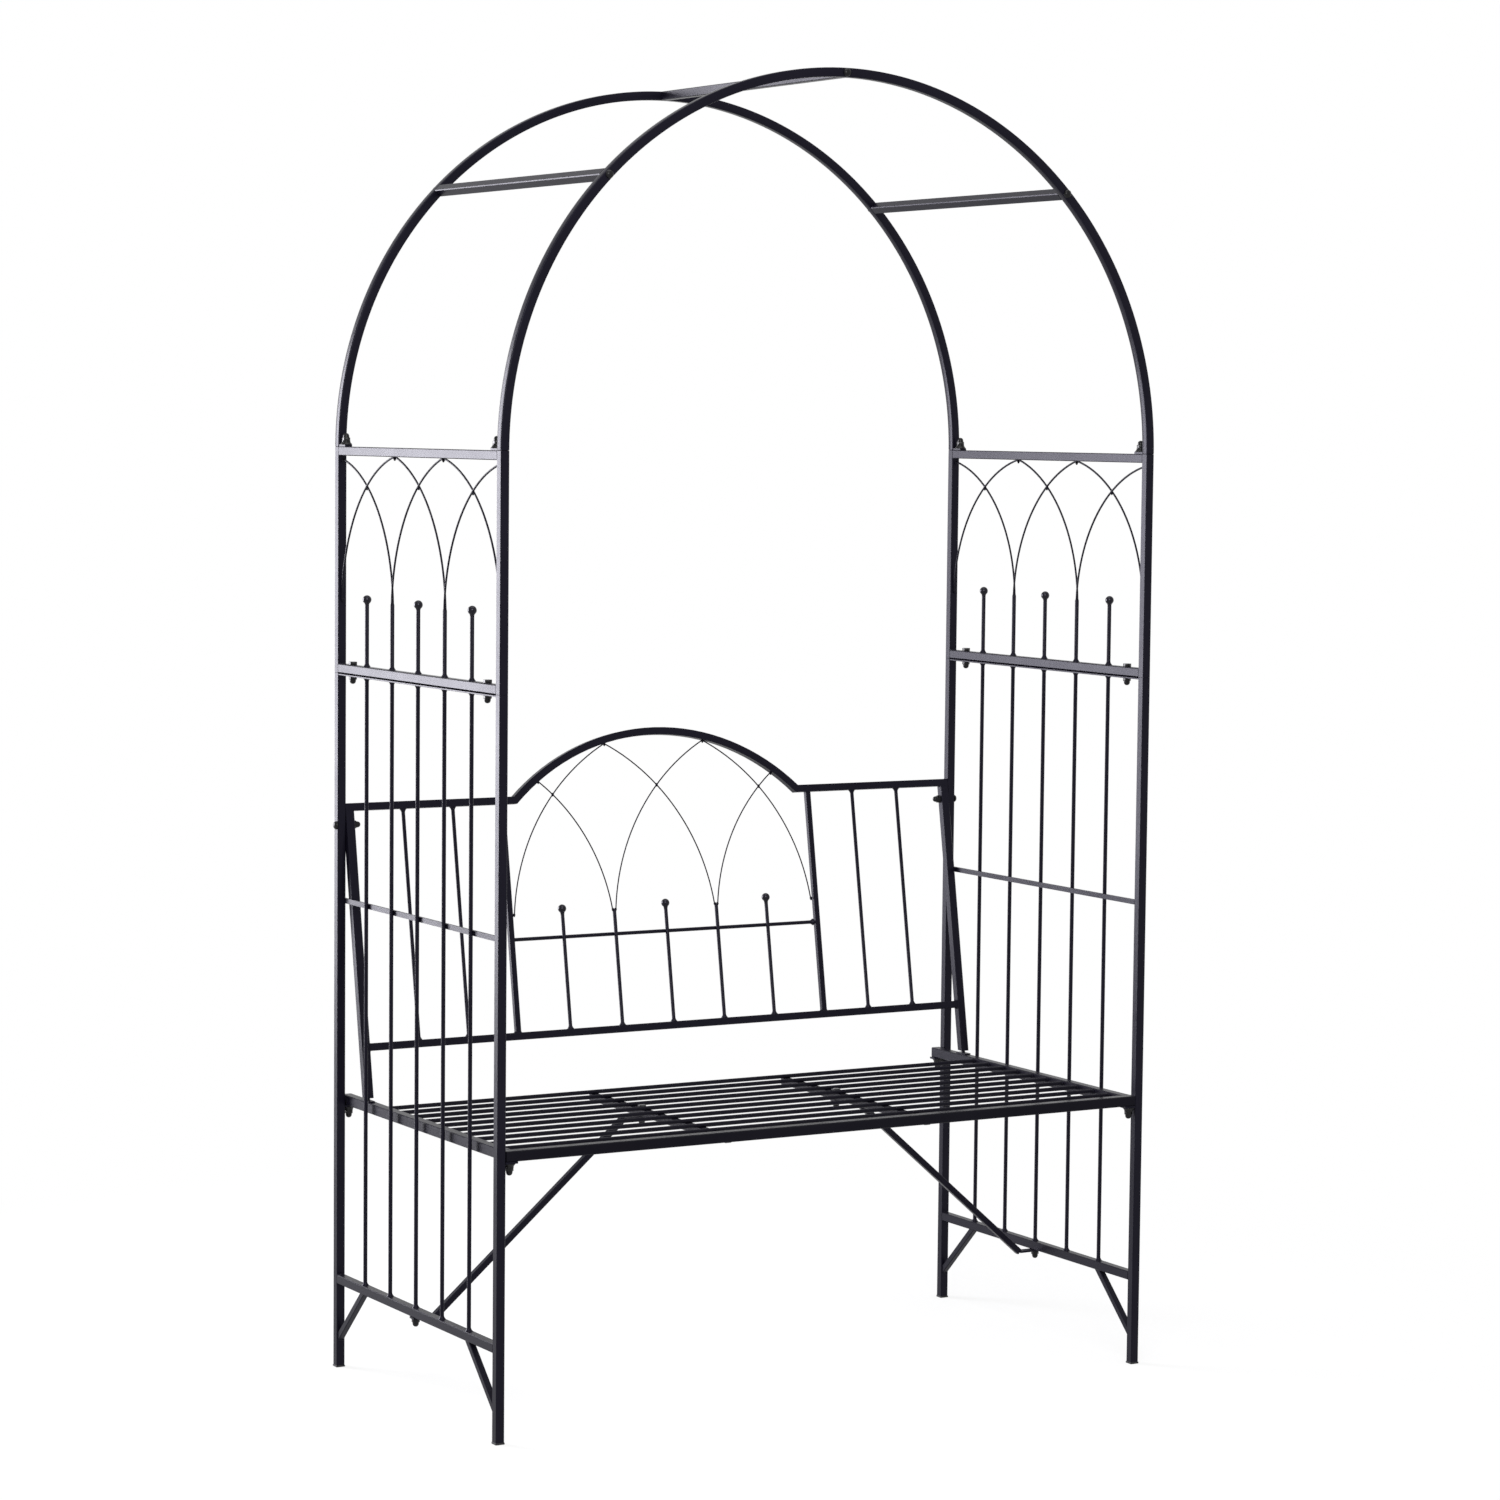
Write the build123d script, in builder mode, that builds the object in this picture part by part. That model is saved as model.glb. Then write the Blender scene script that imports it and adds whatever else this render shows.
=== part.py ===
from build123d import *
import math
import os

# Overall size of the arch
width = 1150.0
depth = 580.0
panel_height = 1457.0
seam_height = 1104.0

# Square tube, bar, rod and plate stock
post_size = 14.0
rail_size = 14.0
crossbar_size = 14.0
seat_tube = 16.0
stile_size = 14.0
back_tube = 12.0
member_size = 12.0
brace_size = 10.0
strut_size = 10.0
inner_stile_size = 9.0
tube_wall = 1.2
tube_corner = 1.2
bar_corner = 1.0
rod_diameter = 6.0
seat_rod_diameter = 5.5
wire_diameter = 2.4
plate_thickness = 3.0
end_plate = 2.0
joint_chamfer = 0.6

# Round stock is drawn with flats, to keep a model of many thin pieces light
rod_sides = 10
ball_sides = 8
dome_sides = 6
hole_sides = 6
wire_sides = 6
bend_steps = 7

# Side panels
rod_count = 5
bottom_rail_underside = 135.0
mid_bar_height = 745.0
mid_bar_tall = 8.0
strip_width = 12.0
strut_foot_height = 50.0
rod_tip_rise = 115.0
finial_lift = 3.0
finial_diameter = 11.5
wire_spring_drop = 11.0
wire_node = 85.0
wire_corner_drop = 6.0
wire_overrun = 1.04
foot_cap_flange = 3.0
foot_cap_rim = 0.5
foot_cap_plug = 12.0

# Joints and fasteners
spigot_length = 30.0
hoop_spigot_length = 18.0
spigot_clearance = 0.6
touch_clearance = 0.05
bolt_diameter = 6.0
bolt_clearance = 0.3
thread_clearance = 0.1
bolt_head_flats = 10.0
bolt_head_tall = 4.5
round_head_diameter = 13.0
round_head_tall = 5.0
nut_flats = 11.0
nut_hex_tall = 5.5
nut_dome_tall = 7.0
thread_grip = 9.0
thread_run_out = 0.8
panel_bolt_setback = 40.0
hoop_tab_reach = 22.0
hoop_bolt_setback = 13.0
crossbar_plug = 12.0
crossbar_angles = (45.0, 90.0, 135.0)

# Bench
seat_top = 435.0
seat_gap = 1.0
seat_rod_count = 10
seat_back_gap = 47.0
seat_rod_drop = 5.0
seat_tab_reach = 20.0
member_x = 178.0
member_overhang = 8.0
brace_tab_width = 14.0
brace_tab_reach = 33.0

# Backrest, with heights measured up its slope from the seat
back_setback = 78.0
back_lean = 9.74
back_rail_up = 462.5
crest_radius = 382.0
crest_up = 567.0
back_bottom_up = 84.5
cross_rod_up = 239.0
back_tip_up = 279.0
back_finial_up = 284.5
back_spring_up = 239.0
inner_stile_x = 285.0
back_node_x = 91.6
back_low_node_x = 217.0
back_bolt_setback = 2.0
back_bolt_height = 863.5
foot_plate_thick = 2.0
foot_plate_long = 26.0
foot_neck = 4.0
foot_stud_diameter = 6.0
foot_stud_long = 25.0

# Positions that follow from the sizes above
panel_x = width / 2 - post_size / 2
post_y = depth / 2 - post_size / 2
inner_x = width / 2 - post_size
inner_y = depth / 2 - post_size
rod_pitch = 2 * inner_y / (rod_count + 1)
rod_row = [rod_pitch * (i - (rod_count - 1) / 2) for i in range(rod_count)]
bolt_hole = bolt_diameter + 2 * bolt_clearance
rod_radius = rod_diameter / 2
mid_bar_thick = post_size / 2 - rod_radius - 2 * touch_clearance
rod_tip_height = seam_height + rod_tip_rise
finial_height = rod_tip_height + finial_lift
wire_spring_height = rod_tip_height - wire_spring_drop
finial_seat = math.sqrt((finial_diameter / 2) ** 2 - rod_radius ** 2)
panel_bolt_y = inner_y - panel_bolt_setback
hoop_bolt_y = inner_y - hoop_bolt_setback
seat_underside = seat_top - seat_tube
seat_rail_x = inner_x - seat_gap - seat_tube / 2
seat_front_y = -depth / 2 + seat_tube / 2
back_foot_y = post_y - back_setback
back_bolt_y = post_y - back_bolt_setback
seat_rod_pitch = (back_foot_y - seat_back_gap - seat_front_y) / seat_rod_count
seat_row = [seat_front_y + seat_rod_pitch * (i + 1) for i in range(seat_rod_count)]
seat_rod_height = seat_top - seat_rod_drop
member_top = seat_rod_height - seat_rod_diameter / 2
member_underside = member_top - member_size
lean = math.radians(back_lean)
back_plane = Plane(
    origin=(0, back_foot_y, seat_top),
    x_dir=(1, 0, 0),
    z_dir=(0, -math.cos(lean), math.sin(lean)),
)
stile_x = inner_x - stile_size / 2
stile_top_up = back_rail_up - back_tube / 2
back_rod_foot_up = back_bottom_up + back_tube / 2
back_rod_pitch = inner_stile_x / 3
bay_width = inner_x - stile_size - inner_stile_x
crest_center_up = crest_up - crest_radius
crest_inside = crest_radius - back_tube / 2
UP = (0, 0, 1)
DOWN = (0, 0, -1)


def on_back(x, up, out=0.0):
    """Point on the backrest, across by x, up its slope and out to its front."""
    return back_plane.from_local_coords(Vector(x, up, out))


def save(piece, name):
    """Label a finished piece and write its file."""
    piece.label = name
    export_step(piece, f"parts/{name}.step")


def eased_square(size, cut):
    """Square with its corners cut back."""
    half = size / 2
    short = half - cut
    Polygon(
        (half, short),
        (short, half),
        (-short, half),
        (-half, short),
        (-half, -short),
        (-short, -half),
        (short, -half),
        (half, -short),
    )


def tube_section(size):
    """Hollow square section with eased outer corners."""
    eased_square(size, tube_corner)
    Rectangle(size - 2 * tube_wall, size - 2 * tube_wall, mode=Mode.SUBTRACT)


def bent_tube_section(size):
    """Hollow square section of a bent tube, with plain corners."""
    Rectangle(size, size)
    Rectangle(size - 2 * tube_wall, size - 2 * tube_wall, mode=Mode.SUBTRACT)


def bolt_section():
    """Outline of a bolt hole, clear of the bolt all round."""
    RegularPolygon(bolt_hole / 2, hole_sides, major_radius=False)


def square_tube(start, end, size, across, holes=(), closed=0.0):
    """Square tube from start to end, drilled at each spot, with its far end closed if asked."""
    run = Vector(*end) - Vector(*start)
    section = Plane(origin=start, x_dir=across, z_dir=run)
    with BuildPart() as tube:
        with BuildSketch(section):
            tube_section(size)
        extrude(amount=run.length)
        if closed:
            with BuildSketch(section.offset(run.length - closed)):
                Rectangle(size - 2 * tube_wall, size - 2 * tube_wall)
            extrude(amount=closed)
        if holes:
            with BuildSketch(*[Plane(origin=spot, z_dir=way) for spot, way in holes]):
                bolt_section()
            extrude(amount=size, both=True, mode=Mode.SUBTRACT)
    return tube.part


def round_rods(lines, diameter):
    """Group of round rods, one for each start and end."""
    with BuildPart() as group:
        for start, end in lines:
            run = Vector(*end) - Vector(*start)
            with BuildSketch(Plane(origin=start, z_dir=run)):
                RegularPolygon(diameter / 2, rod_sides)
            extrude(amount=run.length)
    return group.part


def drilled_plates(plates):
    """Group of flat plates, each a center, a size and the spot of its bolt."""
    with BuildPart() as group:
        for center, size, spot in plates:
            with Locations(center):
                Box(*size)
            with BuildSketch(Plane(origin=(spot[0], spot[1], center[2]))):
                bolt_section()
            extrude(amount=size[2], both=True, mode=Mode.SUBTRACT)
    return group.part


def placed(shape, spots):
    """Group of copies of a shape, each seated at a spot and pointing the given way."""
    with BuildPart() as group:
        with Locations(*[Plane(origin=spot, z_dir=way) for spot, way in spots]):
            add(shape)
    return group.part


def hex_bolts(spots, length):
    """Hex bolts whose heads sit at each spot and point the given way."""
    with BuildPart() as bolt:
        with BuildSketch(Plane.XY):
            RegularPolygon(bolt_head_flats / 2, 6, major_radius=False)
        extrude(amount=bolt_head_tall)
        with BuildSketch(Plane.XY):
            RegularPolygon(bolt_diameter / 2, hole_sides)
        extrude(amount=-length)
    return placed(bolt.part, spots)


def round_bolts(spots, length):
    """Round-head bolts whose heads sit at each spot and point the given way."""
    rim = 0.4 * round_head_tall
    with BuildPart() as bolt:
        with BuildSketch(Plane.XY):
            RegularPolygon(round_head_diameter / 2, rod_sides)
        extrude(amount=rim)
        with BuildSketch(Plane.XY.offset(rim)):
            RegularPolygon(round_head_diameter / 2, rod_sides)
        extrude(amount=round_head_tall - rim, taper=42)
        with BuildSketch(Plane.XY):
            RegularPolygon(bolt_diameter / 2, hole_sides)
        extrude(amount=-length)
    return placed(bolt.part, spots)


def acorn_nuts(spots):
    """Acorn nuts that seat at each spot with their domes pointing the given way."""
    with BuildPart() as nut:
        with BuildSketch(Plane.XY):
            RegularPolygon(nut_flats / 2, 6, major_radius=False)
        extrude(amount=nut_hex_tall)
        with BuildSketch(Plane.XY.offset(nut_hex_tall)):
            RegularPolygon(0.46 * nut_flats, dome_sides)
        extrude(amount=0.6 * nut_dome_tall, taper=6)
        with BuildSketch(Plane.XY.offset(nut_hex_tall + 0.6 * nut_dome_tall)):
            RegularPolygon(0.42 * nut_flats, dome_sides)
        extrude(amount=0.4 * nut_dome_tall, taper=40)
        with BuildSketch(Plane.XY):
            RegularPolygon(bolt_diameter / 2 + thread_clearance, hole_sides, major_radius=False)
        extrude(amount=thread_grip + thread_run_out, mode=Mode.SUBTRACT)
    return placed(nut.part, spots)


def ball_finials(spots):
    """Balls that seat on the rod ends at each spot, flat where they are welded."""
    radius = finial_diameter / 2
    flat = math.asin(finial_seat / radius)
    with BuildPart() as ball:
        for turn in (-flat, -flat / 2, 0, flat / 2, flat, (flat + math.pi / 2) / 2):
            with BuildSketch(Plane.XY.offset(finial_seat + radius * math.sin(turn))):
                RegularPolygon(radius * math.cos(turn), ball_sides)
        loft(ruled=True)
    return placed(ball.part, spots)


def arched_wires(plane, arcs, spring, window):
    """Bent wires that rise from the spring line, trimmed to the window of their frame."""
    with BuildPart() as wires:
        for start, end, rise in arcs:
            lean_way = 1 if end > start else -1
            run = abs(end - start)
            climb = rise - spring
            reach = max((run * run + climb * climb) / (2 * run), run)
            turn = math.acos(1 - run / reach)
            lift = climb / math.sin(turn)
            layer = lean_way * (wire_diameter / 2 + touch_clearance)
            pivot = plane.from_local_coords(Vector(start + lean_way * reach, spring, layer))
            for step in range(bend_steps + 1):
                angle = wire_overrun * turn * step / bend_steps
                across = -lean_way * reach * math.cos(angle)
                spot = pivot + plane.x_dir * across + plane.y_dir * (lift * math.sin(angle))
                ahead = plane.x_dir * (lean_way * reach * math.sin(angle)) + plane.y_dir * (lift * math.cos(angle))
                with BuildSketch(Plane(origin=spot, x_dir=plane.z_dir, z_dir=ahead)):
                    RegularPolygon(wire_diameter / 2, wire_sides)
            loft(ruled=True, clean=False)
        with BuildSketch(plane):
            window()
        extrude(amount=4 * wire_diameter, both=True, mode=Mode.INTERSECT)
    return wires.part


def panel_window():
    """Opening of an upper side panel, from the rod tips to the top rail."""
    with Locations((0, panel_height - rail_size)):
        Rectangle(
            2 * inner_y,
            panel_height - rail_size - rod_tip_height,
            align=(Align.CENTER, Align.MAX),
        )


def crest_window():
    """Opening under the arched top rail, from the rod tips up."""
    with Locations((0, crest_center_up)):
        Circle(crest_inside)
    with Locations((0, back_tip_up)):
        Rectangle(
            2 * crest_inside,
            2 * crest_inside,
            align=(Align.CENTER, Align.MAX),
            mode=Mode.SUBTRACT,
        )


def post(side, end, low, high, holes=()):
    """Upright tube of one corner, with its ends eased at the joints."""
    with BuildPart() as tube:
        with BuildSketch(Plane.XY.offset(low)):
            with Locations((side * panel_x, end * post_y)):
                tube_section(post_size)
        extrude(amount=high - low)
        top = tube.faces().sort_by(Axis.Z)[-1]
        chamfer(top.outer_wire().edges(), joint_chamfer)
        if holes:
            with BuildSketch(*[Plane(origin=spot, z_dir=way) for spot, way in holes]):
                bolt_section()
            extrude(amount=post_size, both=True, mode=Mode.SUBTRACT)
    return tube.part


def hoop_quarter(side, end):
    """One quarter of a hoop, from its post to the crown."""
    with BuildPart() as hoop:
        with BuildSketch(Plane.XY.offset(panel_height)):
            with Locations((side * panel_x, end * post_y)):
                bent_tube_section(post_size)
        bend = Axis((0, end * post_y, panel_height), (0, -side, 0))
        revolve(axis=bend, revolution_arc=90)
        for angle in crossbar_angles:
            spot = on_hoop(angle, end * post_y)
            if spot[0] * side > -1:
                with BuildSketch(Plane(origin=spot, z_dir=(0, end, 0))):
                    bolt_section()
                extrude(amount=post_size, both=True, mode=Mode.SUBTRACT)
    return hoop.part


def on_hoop(angle, y):
    """Point on the middle line of a hoop at an angle up from the right."""
    turn = math.radians(angle)
    return (panel_x * math.cos(turn), y, panel_height + panel_x * math.sin(turn))


def crossbar(angle):
    """Square tube between the hoops with threaded blocks closing its ends."""
    turn = math.radians(angle)
    length = 2 * inner_y
    section = Plane(
        origin=on_hoop(angle, -inner_y),
        x_dir=(-math.sin(turn), 0, math.cos(turn)),
        z_dir=(0, 1, 0),
    )
    with BuildPart() as bar:
        with BuildSketch(section):
            eased_square(crossbar_size, tube_corner)
        extrude(amount=length)
        with BuildSketch(section.offset(crossbar_plug)):
            Rectangle(crossbar_size - 2 * tube_wall, crossbar_size - 2 * tube_wall)
        extrude(amount=length - 2 * crossbar_plug, mode=Mode.SUBTRACT)
        for end in (-1, 1):
            with BuildSketch(Plane(origin=on_hoop(angle, end * inner_y), z_dir=(0, -end, 0))):
                bolt_section()
            extrude(amount=crossbar_plug + 2, mode=Mode.SUBTRACT)
    return bar.part


def brace(side):
    """Sloping brace with a flat tab at each end."""
    low = Vector(side * (panel_x - brace_tab_reach), 0, bottom_rail_underside - plate_thickness / 2)
    high = Vector(side * (member_x + brace_tab_reach), 0, member_underside - plate_thickness / 2)
    run = high - low
    low_end = side * (panel_x + brace_tab_width / 2)
    high_end = side * (member_x - brace_tab_width / 2)
    with BuildPart() as body:
        with BuildSketch(Plane(origin=low, x_dir=(0, 1, 0), z_dir=run)):
            eased_square(brace_size, bar_corner)
        extrude(amount=run.length)
        for inner, outer in ((low, low_end), (high, high_end)):
            with Locations(((inner.X + outer) / 2, 0, inner.Z)):
                Box(abs(inner.X - outer), brace_tab_width, plate_thickness)
        for x, z in ((panel_x, low.Z), (member_x, high.Z)):
            with BuildSketch(Plane(origin=(side * x, 0, z))):
                bolt_section()
            extrude(amount=plate_thickness, both=True, mode=Mode.SUBTRACT)
    return body.part


def back_stile(side):
    """End stile of the backrest, cut level above its foot plate."""
    foot_height = seat_top + foot_plate_thick + foot_neck
    start_up = -stile_size
    bore = stile_size - 2 * tube_wall
    with BuildPart() as stile:
        section = Plane(
            origin=on_back(side * stile_x, start_up),
            x_dir=(1, 0, 0),
            z_dir=back_plane.y_dir,
        )
        with BuildSketch(section):
            eased_square(stile_size, tube_corner)
        extrude(amount=stile_top_up - start_up)
        split(bisect_by=Plane.XY.offset(foot_height), keep=Keep.TOP)
        bore_start = foot_height - seat_top + stile_size / 4 - start_up
        with BuildSketch(section.offset(bore_start)):
            Rectangle(bore, bore)
        extrude(amount=stile_top_up, mode=Mode.SUBTRACT)
        with BuildSketch(section):
            RegularPolygon(foot_stud_diameter / 2 + bolt_clearance, hole_sides, major_radius=False)
        extrude(amount=bore_start + 1, mode=Mode.SUBTRACT)
        with BuildSketch(Plane(origin=(side * stile_x, back_bolt_y, back_bolt_height), z_dir=(side, 0, 0))):
            bolt_section()
        extrude(amount=stile_size, both=True, mode=Mode.SUBTRACT)
    return stile.part


def crest_outline(inset, reach):
    """Face of the arched top rail, drawn in by the inset."""
    half = back_tube / 2 - inset
    with Locations((0, crest_center_up)):
        Circle(crest_radius + half)
    with Locations((0, back_rail_up)):
        Rectangle(2 * reach, 2 * half)
    with Locations((0, crest_center_up)):
        Circle(crest_radius - half, mode=Mode.SUBTRACT)
    with Locations((0, back_rail_up - half)):
        Rectangle(
            4 * width,
            4 * crest_radius,
            align=(Align.CENTER, Align.MAX),
            mode=Mode.SUBTRACT,
        )


os.makedirs("parts", exist_ok=True)

sides = {"left": -1, "right": 1}
ends = {"front": -1, "rear": 1}

# Corner posts
for end_name, end in ends.items():
    for side_name, side in sides.items():
        holes = []
        if end > 0:
            holes = [((side * panel_x, back_bolt_y, back_bolt_height), (side, 0, 0))]
        lower = post(side, end, foot_cap_flange, seam_height, holes)
        save(lower, f"lower_post_{end_name}_{side_name}")
        upper = post(side, end, seam_height, panel_height)
        save(upper, f"upper_post_{end_name}_{side_name}")

# Side panels
for side_name, side in sides.items():
    x = side * panel_x
    bolt_pair = [((x, end * panel_bolt_y, seam_height), UP) for end in (-1, 1)]

    height = bottom_rail_underside + rail_size / 2
    rail = square_tube((x, -inner_y, height), (x, inner_y, height), rail_size, (1, 0, 0))
    save(rail, f"bottom_rail_{side_name}")
    height = seam_height + rail_size / 2
    rail = square_tube((x, -inner_y, height), (x, inner_y, height), rail_size, (1, 0, 0), bolt_pair)
    save(rail, f"mid_rail_{side_name}")
    height = panel_height - rail_size / 2
    rail = square_tube((x, -inner_y, height), (x, inner_y, height), rail_size, (1, 0, 0))
    save(rail, f"top_rail_{side_name}")

    with BuildPart() as strip:
        with Locations((x, 0, seam_height - plate_thickness / 2)):
            Box(strip_width, 2 * inner_y, plate_thickness)
        with BuildSketch(*[Plane(origin=spot, z_dir=way) for spot, way in bolt_pair]):
            bolt_section()
        extrude(amount=2 * plate_thickness, both=True, mode=Mode.SUBTRACT)
    save(strip.part, f"top_strip_{side_name}")

    with BuildPart() as mid_bar:
        bar_x = panel_x - rod_radius - touch_clearance - mid_bar_thick / 2
        with Locations((side * bar_x, 0, mid_bar_height)):
            Box(mid_bar_thick, 2 * inner_y, mid_bar_tall)
    save(mid_bar.part, f"mid_bar_{side_name}")

    low = bottom_rail_underside + rail_size
    high = seam_height - plate_thickness
    lines = [((x, y, low), (x, y, high)) for y in rod_row]
    save(round_rods(lines, rod_diameter), f"lower_rods_{side_name}")

    low = seam_height + rail_size
    lines = []
    for i, y in enumerate(rod_row):
        high = rod_tip_height if i % 2 else finial_height - finial_seat
        lines.append(((x, y, low), (x, y, high)))
    save(round_rods(lines, rod_diameter), f"upper_rods_{side_name}")

    panel_plane = Plane(origin=(x, 0, 0), x_dir=(0, 1, 0), z_dir=(1, 0, 0))
    rail_underside = panel_height - rail_size
    post_start = inner_y - wire_diameter / 2 - touch_clearance
    arcs = []
    for end in (-1, 1):
        arcs.append((end * post_start, end * wire_node, rail_underside))
        arcs.append((end * rod_pitch, end * inner_y, rail_underside - wire_corner_drop))
        arcs.append((-end * rod_pitch, end * wire_node, rail_underside))
    wires = arched_wires(panel_plane, arcs, wire_spring_height, panel_window)
    save(wires, f"trellis_wires_{side_name}")

# Sloping struts from the bottom rails to the posts
strut_top_y = rod_row[-1] + rod_radius
with BuildPart() as foot_struts:
    for side in (-1, 1):
        for end in (-1, 1):
            run = Vector(0, end * (inner_y - strut_top_y), strut_foot_height - bottom_rail_underside)
            start = Vector(side * panel_x, end * strut_top_y, bottom_rail_underside)
            with BuildSketch(Plane(origin=start - run * 0.15, x_dir=(1, 0, 0), z_dir=run)):
                eased_square(strut_size, bar_corner)
            extrude(amount=run.length * 1.3)
    with Locations((0, 0, bottom_rail_underside)):
        Box(
            width,
            2 * inner_y,
            bottom_rail_underside,
            align=(Align.CENTER, Align.CENTER, Align.MAX),
            mode=Mode.INTERSECT,
        )
save(foot_struts.part, "foot_struts")

# Foot caps
with BuildPart() as foot_caps:
    plug = post_size - 2 * tube_wall - 2 * bolt_clearance
    with GridLocations(2 * panel_x, 2 * post_y, 2, 2):
        Box(
            post_size + 2 * foot_cap_rim,
            post_size + 2 * foot_cap_rim,
            foot_cap_flange,
            align=(Align.CENTER, Align.CENTER, Align.MIN),
        )
        Box(plug, plug, foot_cap_flange + foot_cap_plug, align=(Align.CENTER, Align.CENTER, Align.MIN))
save(foot_caps.part, "foot_caps")

# Inner spigots of the post joints and of the crown
spigot = post_size - 2 * tube_wall - 2 * spigot_clearance
with BuildPart() as tube_spigots:
    with GridLocations(2 * panel_x, 2 * post_y, 2, 2):
        with Locations((0, 0, seam_height)):
            Box(spigot, spigot, 2 * spigot_length)
        with Locations((0, 0, panel_height - spigot_length)):
            Box(
                spigot,
                spigot,
                spigot_length + hoop_spigot_length,
                align=(Align.CENTER, Align.CENTER, Align.MIN),
            )
    for end in (-1, 1):
        span = math.degrees(spigot_length / panel_x)
        start = Plane(origin=(0, end * post_y, panel_height), x_dir=(1, 0, 0), z_dir=UP)
        start = start.rotated((0, span - 90, 0))
        with BuildSketch(start):
            with Locations((panel_x, 0)):
                Rectangle(spigot, spigot)
        revolve(axis=Axis((0, end * post_y, panel_height), (0, -1, 0)), revolution_arc=2 * span)
        with BuildSketch(Plane(origin=on_hoop(90, end * post_y), z_dir=(0, end, 0))):
            bolt_section()
        extrude(amount=post_size, both=True, mode=Mode.SUBTRACT)
save(tube_spigots.part, "tube_spigots")

# Hoops, crossbars and the tabs at the hoop feet
for end_name, end in ends.items():
    for side_name, side in sides.items():
        save(hoop_quarter(side, end), f"hoop_{end_name}_{side_name}")

for bar_name, angle in zip(("right", "crown", "left"), crossbar_angles):
    save(crossbar(angle), f"crossbar_{bar_name}")

tabs = []
for side in (-1, 1):
    for end in (-1, 1):
        center = (side * panel_x, end * (inner_y - hoop_tab_reach / 2), panel_height + plate_thickness / 2)
        size = (strip_width, hoop_tab_reach, plate_thickness)
        tabs.append((center, size, (side * panel_x, end * hoop_bolt_y)))
save(drilled_plates(tabs), "hoop_foot_tabs")

# Bench seat
height = seat_top - seat_tube / 2
reach = inner_x - seat_gap
rail = square_tube((-reach, seat_front_y, height), (reach, seat_front_y, height), seat_tube, (0, 1, 0))
save(rail, "seat_front_rail")

front_back = seat_front_y + seat_tube / 2
for side_name, side in sides.items():
    x = side * seat_rail_x
    start = (x, front_back, height)
    finish = (x, depth / 2, height)
    rail = square_tube(start, finish, seat_tube, (1, 0, 0), closed=end_plate)
    save(rail, f"seat_side_rail_{side_name}")

reach = seat_rail_x - seat_tube / 2
lines = [((-reach, y, seat_rod_height), (reach, y, seat_rod_height)) for y in seat_row]
save(round_rods(lines, seat_rod_diameter), "seat_rods")

with BuildPart() as members:
    for side in (-1, 1):
        section = Plane(
            origin=(side * member_x, front_back, member_top - member_size / 2),
            x_dir=(1, 0, 0),
            z_dir=(0, 1, 0),
        )
        length = seat_row[-1] + member_overhang - front_back
        with BuildSketch(section):
            tube_section(member_size)
        extrude(amount=length)
        with BuildSketch(section.offset(length - end_plate)):
            Rectangle(member_size - 2 * tube_wall, member_size - 2 * tube_wall)
        extrude(amount=end_plate)
    with BuildSketch(*[Plane(origin=(side * member_x, 0, member_top)) for side in (-1, 1)]):
        bolt_section()
    extrude(amount=2 * member_size, both=True, mode=Mode.SUBTRACT)
save(members.part, "seat_cross_members")

tabs = []
for side in (-1, 1):
    for end in (-1, 1):
        center = (
            side * (inner_x - seat_tab_reach / 2),
            end * post_y,
            seat_underside - plate_thickness / 2,
        )
        size = (seat_tab_reach, post_size, plate_thickness)
        tabs.append((center, size, (side * seat_rail_x, end * post_y)))
save(drilled_plates(tabs), "seat_tabs")

for side_name, side in sides.items():
    save(brace(side), f"brace_{side_name}")

# Backrest
for side_name, side in sides.items():
    save(back_stile(side), f"back_stile_{side_name}")

with BuildPart() as back_top_rail:
    with BuildSketch(back_plane):
        crest_outline(0.0, inner_x)
    extrude(amount=back_tube / 2, both=True)
    with BuildSketch(back_plane):
        crest_outline(tube_wall, inner_x)
    extrude(amount=back_tube / 2 - tube_wall, both=True, mode=Mode.SUBTRACT)
save(back_top_rail.part, "back_top_rail")

reach = inner_x - stile_size
start = on_back(-reach, back_bottom_up)
finish = on_back(reach, back_bottom_up)
rail = square_tube(tuple(start), tuple(finish), back_tube, tuple(back_plane.y_dir))
save(rail, "back_bottom_rail")

with BuildPart() as inner_stiles:
    for side in (-1, 1):
        foot = on_back(side * inner_stile_x, back_rod_foot_up)
        with BuildSketch(Plane(origin=foot, x_dir=(1, 0, 0), z_dir=back_plane.y_dir)):
            eased_square(inner_stile_size, bar_corner)
        extrude(amount=stile_top_up - back_rod_foot_up)
save(inner_stiles.part, "back_inner_stiles")

rod_tops = []
for i in (-2, -1, 0, 1, 2):
    top_up = back_tip_up if i % 2 else back_finial_up - finial_seat
    rod_tops.append((i * back_rod_pitch, top_up))
for side in (-1, 1):
    for i in (1, 2):
        rod_tops.append((side * (inner_stile_x + i * bay_width / 3), stile_top_up))
lines = [(tuple(on_back(x, back_rod_foot_up)), tuple(on_back(x, top_up))) for x, top_up in rod_tops]
save(round_rods(lines, rod_diameter), "back_rods")

reach = inner_stile_x - inner_stile_size / 2
out = rod_diameter + touch_clearance
lines = [(tuple(on_back(-reach, cross_rod_up, out)), tuple(on_back(reach, cross_rod_up, out)))]
save(round_rods(lines, rod_diameter), "back_cross_rod")

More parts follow.
